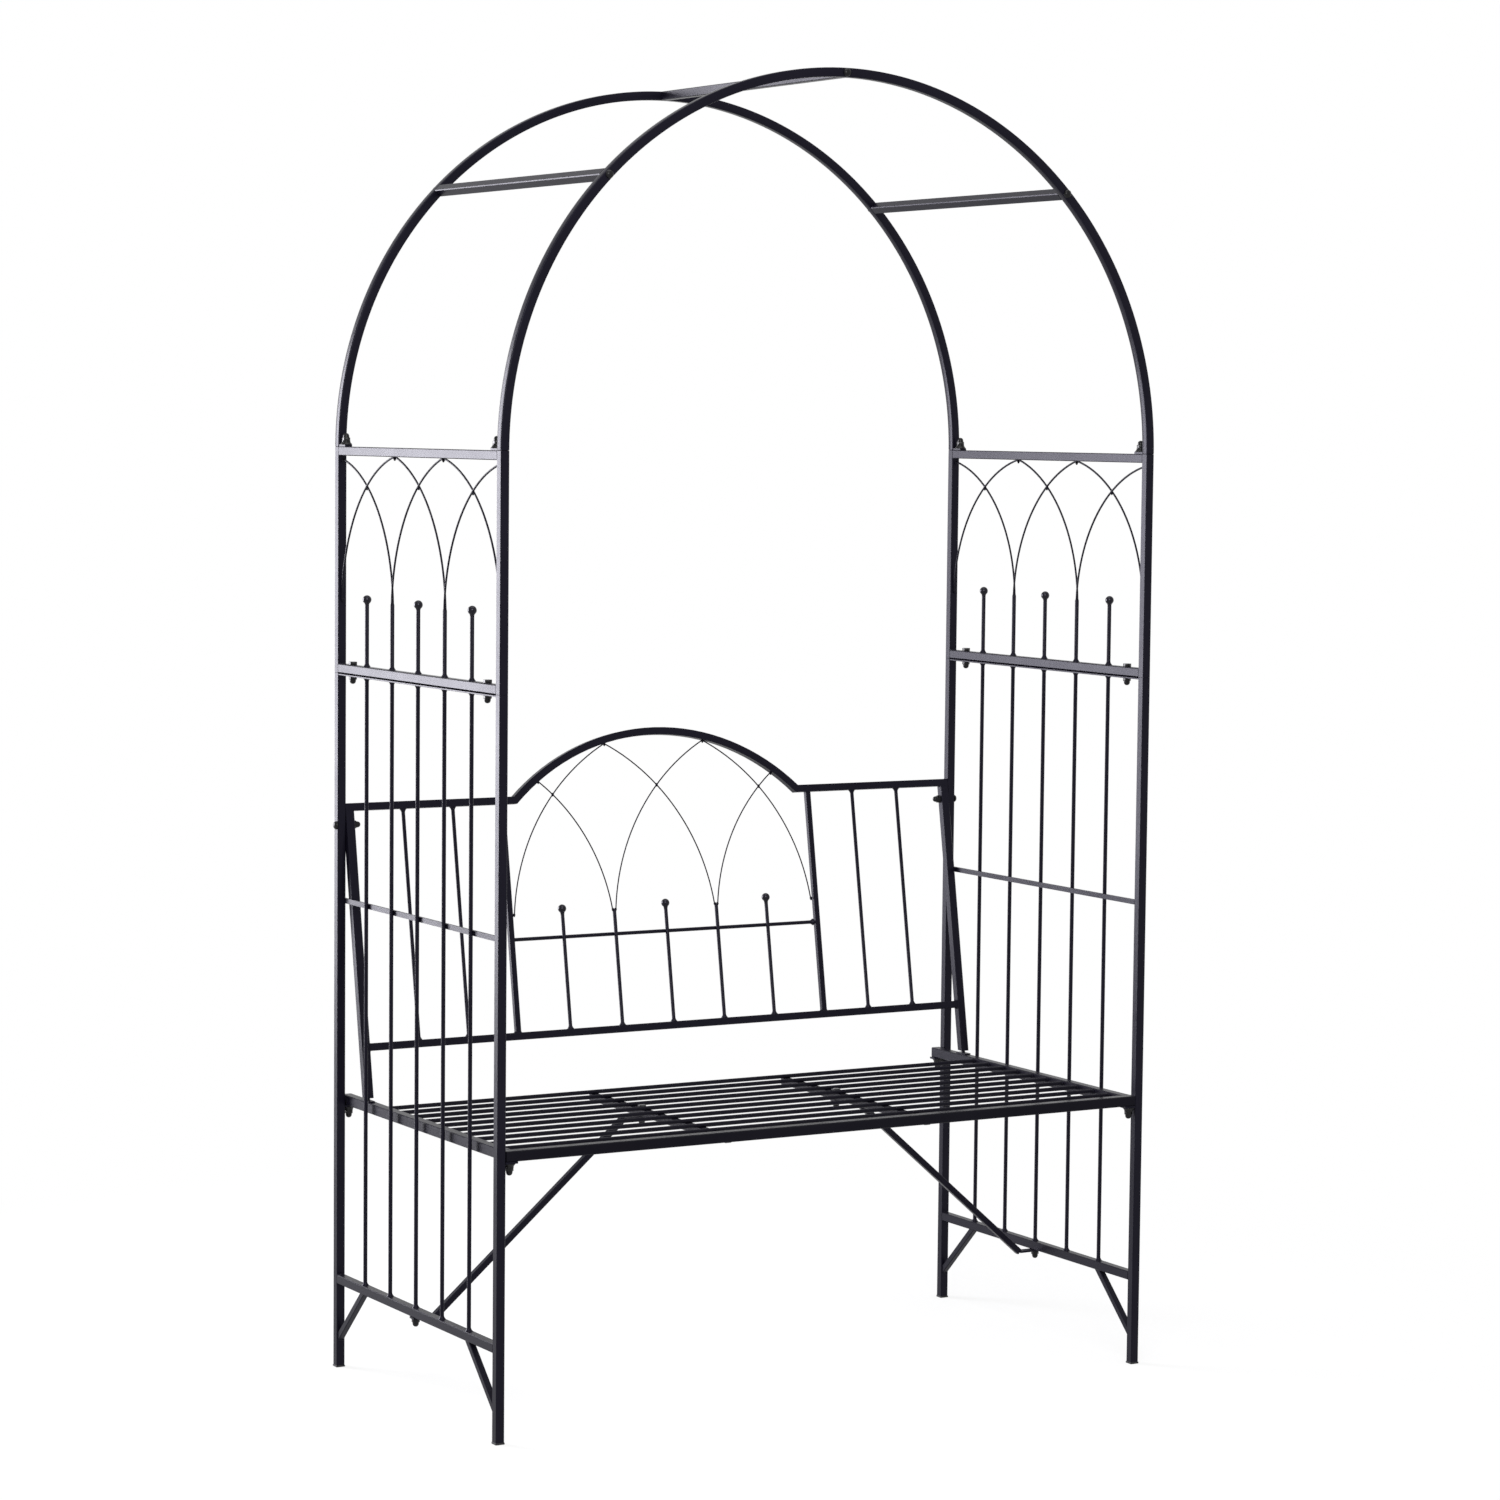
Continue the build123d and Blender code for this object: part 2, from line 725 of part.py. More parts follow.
stile_start = reach - wire_diameter / 2 - touch_clearance
node_up = crest_center_up + math.sqrt(crest_inside ** 2 - back_node_x ** 2)
low_node_up = crest_center_up + math.sqrt(crest_inside ** 2 - back_low_node_x ** 2)
arcs = []
for side in (-1, 1):
    arcs.append((side * stile_start, side * back_node_x, node_up))
    arcs.append((side * back_rod_pitch, side * back_low_node_x, low_node_up))
    arcs.append((-side * back_rod_pitch, side * back_node_x, node_up))
save(arched_wires(back_plane, arcs, back_spring_up, crest_window), "back_wires")

with BuildPart() as foot_plates:
    for side in (-1, 1):
        with Locations((side * stile_x, back_foot_y, seat_top)):
            Box(
                stile_size - 2 * tube_corner,
                foot_plate_long,
                foot_plate_thick,
                align=(Align.CENTER, Align.CENTER, Align.MIN),
            )
        foot = on_back(side * stile_x, foot_plate_thick / 2)
        with BuildSketch(Plane(origin=foot, z_dir=back_plane.y_dir)):
            RegularPolygon(foot_stud_diameter / 2, hole_sides)
        extrude(amount=foot_stud_long)
save(foot_plates.part, "back_foot_plates")

# Ball finials of the side panels and the backrest
finial_spots = []
for side in (-1, 1):
    for y in rod_row[::2]:
        finial_spots.append(((side * panel_x, y, finial_height - finial_seat), UP))
for i in (-2, 0, 2):
    spot = on_back(i * back_rod_pitch, back_finial_up - finial_seat)
    finial_spots.append((tuple(spot), tuple(back_plane.y_dir)))
save(ball_finials(finial_spots), "ball_finials")

# Fasteners
panel_bolt_length = rail_size + plate_thickness + thread_grip
back_bolt_length = post_size + stile_size + thread_grip
crossbar_bolt_length = post_size + crossbar_plug - 2
stud_length = plate_thickness + thread_grip
member_bolt_length = member_size + plate_thickness + thread_grip

bolts = []
nuts = []
studs = []
for side in (-1, 1):
    x = side * panel_x
    for end in (-1, 1):
        y = end * panel_bolt_y
        bolts.append(((x, y, seam_height + rail_size), UP))
        nuts.append(((x, y, seam_height - plate_thickness), DOWN))
        y = end * hoop_bolt_y
        studs.append(((x, y, panel_height), UP))
        nuts.append(((x, y, panel_height + plate_thickness), UP))
        studs.append(((side * seat_rail_x, end * post_y, seat_underside), DOWN))
        nuts.append(((side * seat_rail_x, end * post_y, seat_underside - plate_thickness), DOWN))
    studs.append(((x, 0, bottom_rail_underside), DOWN))
    nuts.append(((x, 0, bottom_rail_underside - plate_thickness), DOWN))
    nuts.append(((side * member_x, 0, member_underside - plate_thickness), DOWN))
    nuts.append(((side * (inner_x - stile_size), back_bolt_y, back_bolt_height), (-side, 0, 0)))
save(hex_bolts(bolts, panel_bolt_length), "panel_bolts")
brace_bolts = [((side * member_x, 0, member_top), UP) for side in (-1, 1)]
save(hex_bolts(brace_bolts, member_bolt_length), "brace_bolts")
save(acorn_nuts(nuts), "acorn_nuts")

with BuildPart() as stud:
    with BuildSketch(Plane.XY):
        RegularPolygon(bolt_diameter / 2, rod_sides)
    extrude(amount=stud_length)
save(placed(stud.part, studs), "weld_studs")

spots = [((side * width / 2, back_bolt_y, back_bolt_height), (side, 0, 0)) for side in (-1, 1)]
save(round_bolts(spots, back_bolt_length), "back_bolts")

spots = []
for angle in crossbar_angles:
    for end in (-1, 1):
        spots.append((on_hoop(angle, end * depth / 2), (0, end, 0)))
save(round_bolts(spots, crossbar_bolt_length), "crossbar_bolts")
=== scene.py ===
"""Garden trellis arch with a built-in bench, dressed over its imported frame."""
import logging
import math
from dataclasses import dataclass, field, replace
from enum import Enum

import bpy
from bpy.types import Material, Node, NodeSocket, NodeTree, Object
from mathutils import Matrix, Vector


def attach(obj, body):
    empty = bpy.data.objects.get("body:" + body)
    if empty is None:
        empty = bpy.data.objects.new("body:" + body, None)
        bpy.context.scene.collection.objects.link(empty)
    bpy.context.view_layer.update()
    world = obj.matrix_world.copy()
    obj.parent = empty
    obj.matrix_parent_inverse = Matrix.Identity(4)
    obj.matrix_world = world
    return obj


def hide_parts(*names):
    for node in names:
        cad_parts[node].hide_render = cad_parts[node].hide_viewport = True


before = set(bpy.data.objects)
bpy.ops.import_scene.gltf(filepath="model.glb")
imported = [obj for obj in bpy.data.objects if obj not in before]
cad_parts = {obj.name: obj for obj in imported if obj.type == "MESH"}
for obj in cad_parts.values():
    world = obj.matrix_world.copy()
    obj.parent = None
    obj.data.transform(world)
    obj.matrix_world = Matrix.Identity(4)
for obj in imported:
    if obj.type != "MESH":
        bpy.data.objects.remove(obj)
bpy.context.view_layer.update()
LOG = logging.getLogger("trellis_arch")
Color = tuple[float, float, float]
Arc = tuple[float, float, float]
Rings = list[tuple[float, float]]
Spots = list[tuple[Vector, Vector]]
MM = 0.001

# Places and stock that several sub-assemblies share, as in the solids that they dress
TUBE = 14 * MM
SEAT_TUBE = 16 * MM
PLATE = 3 * MM
PANEL_X = 568 * MM
POST_Y = 283 * MM
POST_FACE = POST_Y - TUBE / 2
BOTTOM_UNDER = 135 * MM
BOTTOM_TOP = BOTTOM_UNDER + TUBE
SEAM = 1104 * MM
MID_TOP = SEAM + TUBE
PANEL_TOP = 1457 * MM
RAIL_UNDER = PANEL_TOP - TUBE
SEAT_TOP = 435 * MM
MEMBER_X = 178 * MM
MEMBER_TOP = 427.25 * MM
STILE_INSIDE = 547 * MM
INNER_STILE = 285 * MM
INNER_STILE_HALF = 4.5 * MM
BALL_SEAT = 4 * MM
WIRE_LAYER = 1.25 * MM
MERGE = 0.01 * MM
UP = Vector((0, 0, 1))
DOWN = Vector((0, 0, -1))
ACROSS = Vector((1, 0, 0))


class Side(Enum):
    """The two side panels, by the sign of their X."""

    LEFT = -1
    RIGHT = 1


class End(Enum):
    """The two ends of a side panel, by the sign of their Y."""

    FRONT = -1
    REAR = 1


class Slot(Enum):
    """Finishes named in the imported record."""

    COAT = "powder_coat"
    FASTENER = "fastener_coat"
    CAP = "cap_plastic"


@dataclass(frozen=True)
class CoatFinish:
    """A sprayed or moulded finish and the values of its texture."""

    name: str
    color: Color
    pale: Color
    roughness: float
    rough_swing: float
    specular: float
    gloss_tint: Color
    peel_size: float
    peel_height: float
    dust: float
    rub: float = 0.0


VIOLET = (0.84, 0.82, 1.0)
PLAIN = (1.0, 1.0, 1.0)
COAT = CoatFinish(
    name="charcoal_powder_coat",
    color=(0.0027, 0.0023, 0.0056),
    pale=(0.0062, 0.0055, 0.0105),
    roughness=0.33,
    rough_swing=0.08,
    specular=0.105,
    gloss_tint=VIOLET,
    peel_size=1.4 * MM,
    peel_height=0.0012 * MM,
    dust=0.03,
)
# Darker, less violet copy of the plain coat for the seat's front rail: its colour is painted shade, and a
# clear coat shines on its faces that look up
RUBBED_PAINTED_SHADE = replace(
    COAT,
    name="charcoal_rubbed_seat_painted_shade",
    color=(0.0024, 0.0022, 0.004),
    pale=(0.0055, 0.005, 0.008),
    specular=0.07,
    dust=0.0,
    rub=0.1,
)
WIRE = replace(
    COAT,
    name="charcoal_coated_wire",
    color=(0.0028, 0.0025, 0.005),
    pale=(0.006, 0.0054, 0.009),
    roughness=0.42,
    specular=0.09,
    dust=0.0,
)
BALL = replace(
    COAT,
    name="charcoal_coated_ball",
    color=(0.0026, 0.0024, 0.0036),
    pale=(0.0055, 0.005, 0.007),
    roughness=0.10,
    rough_swing=0.04,
    specular=0.24,
    dust=0.0,
)
BLACKED = CoatFinish(
    name="blacked_fastener",
    color=(0.0035, 0.0035, 0.004),
    pale=(0.008, 0.0078, 0.009),
    roughness=0.25,
    rough_swing=0.10,
    specular=0.16,
    gloss_tint=PLAIN,
    peel_size=0.8 * MM,
    peel_height=0.006 * MM,
    dust=0.0,
)
MOULDED = CoatFinish(
    name="moulded_cap",
    color=(0.008, 0.008, 0.009),
    pale=(0.014, 0.014, 0.015),
    roughness=0.62,
    rough_swing=0.12,
    specular=0.3,
    gloss_tint=PLAIN,
    peel_size=0.5 * MM,
    peel_height=0.03 * MM,
    dust=0.06,
)

# Frame nodes that show as they are and don't wear the plain coat
NODE_FINISHES = {
    "weld_studs": BLACKED,
    # The seat's front rail wears the darker copy of the coat, painted shade
    "seat_front_rail": RUBBED_PAINTED_SHADE,
}


class Finisher:
    """Makes the node groups that the finishes share, and the finishes."""

    PEEL_DETAIL = 2.0
    PEEL_ROUGHNESS = 0.45
    CLOUD_SCALE = 9.0
    CLOUD_DETAIL = 3.0
    FLECK_SCALE = 160.0
    FLECK_DETAIL = 1.0
    FLECK_SHARE = 0.35
    DRIFT_SCALE = 45.0
    DRIFT_DETAIL = 4.0
    DUST_SLOPE = (0.55, 1.0)
    DUST_COLOR = (0.16, 0.15, 0.14)
    RUB_SLOPE = (0.3, 0.6)
    RUB_ROUGHNESS = 0.14
    RUB_IOR = 1.6
    GLOSS_SPAN = (0.3, 1.0)
    BUMP_STRENGTH = 0.5

    def __init__(self) -> None:
        """Make the groups that every finish uses.

        A finish itself is made when a piece first needs it.
        """
        self.skin = self._skin_group()
        self.settle = self._dust_group()
        self.rubbed = self._rub_group()
        self.made: dict[str, Material] = {}

    @staticmethod
    def _group(name: str, takes: str, gives: tuple[str, ...]) -> NodeTree:
        """Start a group that takes one value and gives others.

        Args:
            name: name of the group.
            takes: name of its input.
            gives: names of its outputs.

        Returns:
            The group, with its entry and exit nodes in it.
        """
        tree = bpy.data.node_groups.new(name, "ShaderNodeTree")
        tree.interface.new_socket(takes, in_out="INPUT", socket_type="NodeSocketFloat")
        for give in gives:
            tree.interface.new_socket(give, in_out="OUTPUT", socket_type="NodeSocketFloat")
        tree.nodes.new("NodeGroupInput").name = "entry"
        tree.nodes.new("NodeGroupOutput").name = "exit"
        return tree

    @staticmethod
    def _noise(tree: NodeTree, scale: float, detail: float) -> Node:
        """Add a noise that is fixed to the object.

        Args:
            tree: where it goes.
            scale: how fine it is.
            detail: how many finer layers it has.

        Returns:
            The noise node.
        """
        place = tree.nodes.new("ShaderNodeTexCoord")
        noise = tree.nodes.new("ShaderNodeTexNoise")
        noise.inputs["Scale"].default_value = scale
        noise.inputs["Detail"].default_value = detail
        tree.links.new(place.outputs["Object"], noise.inputs["Vector"])
        return noise

    @staticmethod
    def _math(tree: NodeTree, operation: str, *links: NodeSocket) -> Node:
        """Add a step of arithmetic on linked values.

        Args:
            tree: where it goes.
            operation: what is done with the values.
            links: the values, in order.

        Returns:
            The step's node.
        """
        node = tree.nodes.new("ShaderNodeMath")
        node.operation = operation
        for i, link in enumerate(links):
            tree.links.new(link, node.inputs[i])
        return node

    @staticmethod
    def _facing_up(tree: NodeTree, slope: tuple[float, float]) -> NodeSocket:
        """Tell faces that look up from the rest.

        Args:
            tree: where the nodes go.
            slope: upward share of the normal where the mask starts, and where it is full.

        Returns:
            The mask.
        """
        shape = tree.nodes.new("ShaderNodeNewGeometry")
        split = tree.nodes.new("ShaderNodeSeparateXYZ")
        level = tree.nodes.new("ShaderNodeMapRange")
        level.inputs["From Min"].default_value, level.inputs["From Max"].default_value = slope
        tree.links.new(shape.outputs["Normal"], split.inputs[0])
        tree.links.new(split.outputs["Z"], level.inputs["Value"])
        return level.outputs["Result"]

    def _skin_group(self) -> NodeTree:
        """Build the sprayed skin: fine orange peel, cloudy gloss and tone.

        Returns:
            A group that gives Tone, Gloss and Height from Object coordinates.
        """
        tree = self._group("sprayed_skin", "Peel Size", ("Tone", "Gloss", "Height"))
        leave = tree.nodes["exit"]
        per = tree.nodes.new("ShaderNodeMath")
        per.operation = "DIVIDE"
        per.inputs[0].default_value = 1.0
        tree.links.new(tree.nodes["entry"].outputs["Peel Size"], per.inputs[1])
        peel = self._noise(tree, 1.0, self.PEEL_DETAIL)
        peel.inputs["Roughness"].default_value = self.PEEL_ROUGHNESS
        tree.links.new(per.outputs[0], peel.inputs["Scale"])
        cloud = self._noise(tree, self.CLOUD_SCALE, self.CLOUD_DETAIL)
        fleck = self._noise(tree, self.FLECK_SCALE, self.FLECK_DETAIL)
        blend = self._math(tree, "MULTIPLY_ADD", fleck.outputs["Fac"])
        blend.inputs[1].default_value = self.FLECK_SHARE
        tree.links.new(cloud.outputs["Fac"], blend.inputs[2])
        tree.links.new(cloud.outputs["Fac"], leave.inputs["Tone"])
        tree.links.new(blend.outputs[0], leave.inputs["Gloss"])
        tree.links.new(peel.outputs["Fac"], leave.inputs["Height"])
        return tree

    def _dust_group(self) -> NodeTree:
        """Build the dust that settles on faces that look up.

        Returns:
            A group that gives a Mask from an Amount.
        """
        tree = self._group("settled_dust", "Amount", ("Mask",))
        drift = self._noise(tree, self.DRIFT_SCALE, self.DRIFT_DETAIL)
        patch = self._math(tree, "MULTIPLY", self._facing_up(tree, self.DUST_SLOPE), drift.outputs["Fac"])
        share = self._math(tree, "MULTIPLY", patch.outputs[0], tree.nodes["entry"].outputs["Amount"])
        tree.links.new(share.outputs[0], tree.nodes["exit"].inputs["Mask"])
        return tree

    def _rub_group(self) -> NodeTree:
        """Build the shine that sitting rubs into what looks up.

        Returns:
            A group that gives a Mask from an Amount.
        """
        tree = self._group("rubbed_shine", "Amount", ("Mask",))
        mask = self._facing_up(tree, self.RUB_SLOPE)
        share = self._math(tree, "MULTIPLY", mask, tree.nodes["entry"].outputs["Amount"])
        tree.links.new(share.outputs[0], tree.nodes["exit"].inputs["Mask"])
        return tree

    @staticmethod
    def _use(tree: NodeTree, group: NodeTree, takes: str, value: float) -> Node:
        """Add a group to a material.

        Args:
            tree: the material's nodes.
            group: the group.
            takes: name of its input.
            value: what the input is set to.

        Returns:
            The node that stands for the group.
        """
        node = tree.nodes.new("ShaderNodeGroup")
        node.node_tree = group
        node.inputs[takes].default_value = value
        return node

    def _color(self, tree: NodeTree, finish: CoatFinish, tone: NodeSocket) -> NodeSocket:
        """Mix a finish's two tones, with dust over them.

        Args:
            tree: the material's nodes.
            finish: the finish.
            tone: share of the pale tone.

        Returns:
            The colour.
        """
        dust = self._use(tree, self.settle, "Amount", finish.dust)
        coat = tree.nodes.new("ShaderNodeMix")
        coat.data_type = "RGBA"
        coat.inputs[6].default_value = (*finish.color, 1.0)
        coat.inputs[7].default_value = (*finish.pale, 1.0)
        over = tree.nodes.new("ShaderNodeMix")
        over.data_type = "RGBA"
        over.inputs[7].default_value = (*self.DUST_COLOR, 1.0)
        tree.links.new(tone, coat.inputs[0])
        tree.links.new(dust.outputs["Mask"], over.inputs[0])
        tree.links.new(coat.outputs[2], over.inputs[6])
        return over.outputs[2]

    def material(self, finish: CoatFinish) -> Material:
        """Make the material of a finish, once.

        Args:
            finish: the finish to make.

        Returns:
            The material.
        """
        if finish.name in self.made:
            return self.made[finish.name]
        made = bpy.data.materials.new(finish.name)
        made.use_nodes = True
        tree = made.node_tree
        shader = tree.nodes["Principled BSDF"]
        shader.inputs["Specular IOR Level"].default_value = finish.specular
        shader.inputs["Specular Tint"].default_value = (*finish.gloss_tint, 1.0)
        skin = self._use(tree, self.skin, "Peel Size", finish.peel_size)
        gloss = tree.nodes.new("ShaderNodeMapRange")
        gloss.inputs["From Min"].default_value, gloss.inputs["From Max"].default_value = self.GLOSS_SPAN
        gloss.inputs["To Min"].default_value = finish.roughness - finish.rough_swing / 2
        gloss.inputs["To Max"].default_value = finish.roughness + finish.rough_swing / 2
        bump = tree.nodes.new("ShaderNodeBump")
        bump.inputs["Strength"].default_value = self.BUMP_STRENGTH
        bump.inputs["Distance"].default_value = finish.peel_height
        color = self._color(tree, finish, skin.outputs["Tone"])
        tree.links.new(color, shader.inputs["Base Color"])
        tree.links.new(skin.outputs["Gloss"], gloss.inputs["Value"])
        tree.links.new(gloss.outputs["Result"], shader.inputs["Roughness"])
        tree.links.new(skin.outputs["Height"], bump.inputs["Height"])
        tree.links.new(bump.outputs["Normal"], shader.inputs["Normal"])
        if finish.rub > 0:
            shine = self._use(tree, self.rubbed, "Amount", finish.rub)
            shader.inputs["Coat Roughness"].default_value = self.RUB_ROUGHNESS
            shader.inputs["Coat IOR"].default_value = self.RUB_IOR
            tree.links.new(shine.outputs["Mask"], shader.inputs["Coat Weight"])
        self.made[finish.name] = made
        return made

    def dress(self, piece: Object, finish: CoatFinish) -> None:
        """Put a finish on a piece in place of what it carries."""
        piece.data.materials.clear()
        piece.data.materials.append(self.material(finish))


class Bench:
    """Hand tools that the sub-assemblies share."""

    @staticmethod
    def clear() -> None:
        """Leave edit mode and select nothing.

        The next operator then works only on what it makes.
        """
        if bpy.context.object and bpy.context.object.mode != "OBJECT":
            bpy.ops.object.mode_set(mode="OBJECT")
        bpy.ops.object.select_all(action="DESELECT")

    @staticmethod
    def enter_edit() -> None:
        """Fix the place and size of the active object in its mesh, and edit all of it.

        It comes straight after a primitive is added, or scaled.
        """
        bpy.ops.object.transform_apply(location=True, rotation=True, scale=True)
        bpy.ops.object.mode_set(mode="EDIT")
        bpy.ops.mesh.select_all(action="SELECT")

    @staticmethod
    def leave_edit(merge: bool = False, fill: bool = False) -> None:
        """Turn all faces outwards and leave edit mode.

        Args:
            merge: whether points that meet become one first.
            fill: whether open ends are filled first.
        """
        bpy.ops.mesh.select_all(action="SELECT")
        if merge:
            bpy.ops.mesh.remove_doubles(threshold=MERGE)
        if fill:
            bpy.ops.mesh.fill_holes(sides=0)
        bpy.ops.mesh.normals_make_consistent(inside=False)
        bpy.ops.object.mode_set(mode="OBJECT")

    @staticmethod
    def turn(name: str, profile: Rings, sides: int = 20) -> Object:
        """Draw a disc up through a profile, as on a lathe.

        Args:
            name: name of the blank.
            profile: radius and height of each ring, from the bottom.
            sides: flats round the piece.

        Returns:
            A closed blank standing on Z.
        """
        Bench.clear()
        radius, height = profile[0]
        bpy.ops.mesh.primitive_circle_add(vertices=sides, radius=radius, fill_type="NGON")
        blank = bpy.context.object
        blank.name = name
        Bench.enter_edit()
        bpy.ops.transform.translate(value=(0, 0, height))
        for wide, high in profile[1:]:
            bpy.ops.mesh.extrude_region_move(TRANSFORM_OT_translate={"value": (0, 0, high - height)})
            grow = wide / radius
            bpy.ops.transform.resize(value=(grow, grow, 1), center_override=(0, 0, high))
            radius, height = wide, high
        Bench.leave_edit()
        return blank

    @staticmethod
    def hexagon(name: str, flats: float, tall: float, ease: float) -> Object:
        """Make a hexagon with its end edges eased.

        Args:
            name: name of the blank.
            flats: width across the flats.
            tall: height above the floor of the blank.
            ease: width of the bevel on the edges.

        Returns:
            A closed blank standing on Z.
        """
        Bench.clear()
        radius = flats / math.sqrt(3)
        middle = (0, 0, tall / 2)
        bpy.ops.mesh.primitive_cylinder_add(vertices=6, radius=radius, depth=tall, location=middle)
        blank = bpy.context.object
        blank.name = name
        Bench.enter_edit()
        bpy.ops.mesh.bevel(offset=ease, segments=2, affect="EDGES")
        bpy.ops.object.mode_set(mode="OBJECT")
        return blank

    @staticmethod
    def join(name: str, parts: list[Object]) -> Object:
        """Join blanks into one object with a name.

        Args:
            name: name of the object and its mesh.
            parts: the blanks.

        Returns:
            The joined object.
        """
        Bench.clear()
        for part in parts:
            part.select_set(True)
        bpy.context.view_layer.objects.active = parts[0]
        if len(parts) > 1:
            bpy.ops.object.join()
        parts[0].name = name
        parts[0].data.name = name
        return parts[0]

    @staticmethod
    def copies(blank: Object, places: list[Matrix]) -> list[Object]:
        """Copy a blank to each place, with the place in the copy's mesh.

        Args:
            blank: what is copied; it is removed.
            places: where the copies go.

        Returns:
            The copies.
        """
        made = []
        for place in places:
            copy = bpy.data.objects.new(blank.name, blank.data.copy())
            copy.data.transform(place)
            bpy.context.scene.collection.objects.link(copy)
            made.append(copy)
        bpy.data.objects.remove(blank)
        return made

    @staticmethod
    def smooth(piece: Object, degrees: float = 35) -> None:
        """Shade a piece smooth up to an angle.

        Args:
            piece: the piece.
            degrees: edges sharper than this stay crisp.
        """
        Bench.clear()
        piece.select_set(True)
        bpy.context.view_layer.objects.active = piece
        bpy.ops.object.shade_smooth_by_angle(angle=math.radians(degrees))

    @staticmethod
    def stand(spot: Vector, way: Vector) -> Matrix:
        """Place that stands a blank at a spot with its Z along a way."""
        return Matrix.Translation(spot) @ way.to_track_quat("Z", "Y").to_matrix().to_4x4()

    @staticmethod
    def put(piece: Object, finisher: Finisher, finish: CoatFinish, slot: Slot, *nodes: str) -> None:
        """Dress a finished piece, set it on the frame and log it.

        Args:
            piece: the finished piece.
            finisher: maker of materials.
            finish: what it is dressed in.
            slot: the record's slot; not used.
            nodes: the frame's nodes that it stands for.
        """
        Bench.smooth(piece)
        finisher.dress(piece, finish)
        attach(piece, "root")
        if nodes:
            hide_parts(*nodes)
        LOG.info("%s: %d faces", piece.name, len(piece.data.polygons))


@dataclass
class Rod:
    """A round rod welded at its foot, and at its top if it has no free tip."""

    radius: float = 3 * MM
    bead: float = 2.7 * MM
    bead_tall: float = 5.2 * MM

    def blank(self, length: float, top_welded: bool) -> Object:
        """Turn a rod with its weld beads.

        Args:
            length: length of the rod.
            top_welded: whether the top has a bead too.

        Returns:
            The blank, standing on Z.
        """
        r = self.radius
        shares = ((1.0, 0.0), (0.92, 0.12), (0.62, 0.3), (0.34, 0.52), (0.12, 0.78), (0.0, 1.0))
        foot = [(r + wide * self.bead, high * self.bead_tall) for wide, high in shares]
        if top_welded:
            tip = [(wide, length - high) for wide, high in reversed(foot)]
        else:
            shares = ((1.0, 0.5), (0.92, 0.25), (0.7, 0.05), (0.35, 0.0))
            tip = [(wide * r, length - drop * r) for wide, drop in shares]
        return Bench.turn("rod", foot + tip)


@dataclass
class Pane:
    """A flat frame that rods and bent wires stand in."""

    origin: Vector
    across: Vector
    up: Vector

    def at(self, u: float, v: float, out: float = 0.0) -> Vector:
        """Point in the pane, with out along its normal."""
        return self.origin + self.across * u + self.up * v + self.normal() * out

    def normal(self) -> Vector:
        """Normal of the pane."""
        return self.across.cross(self.up)


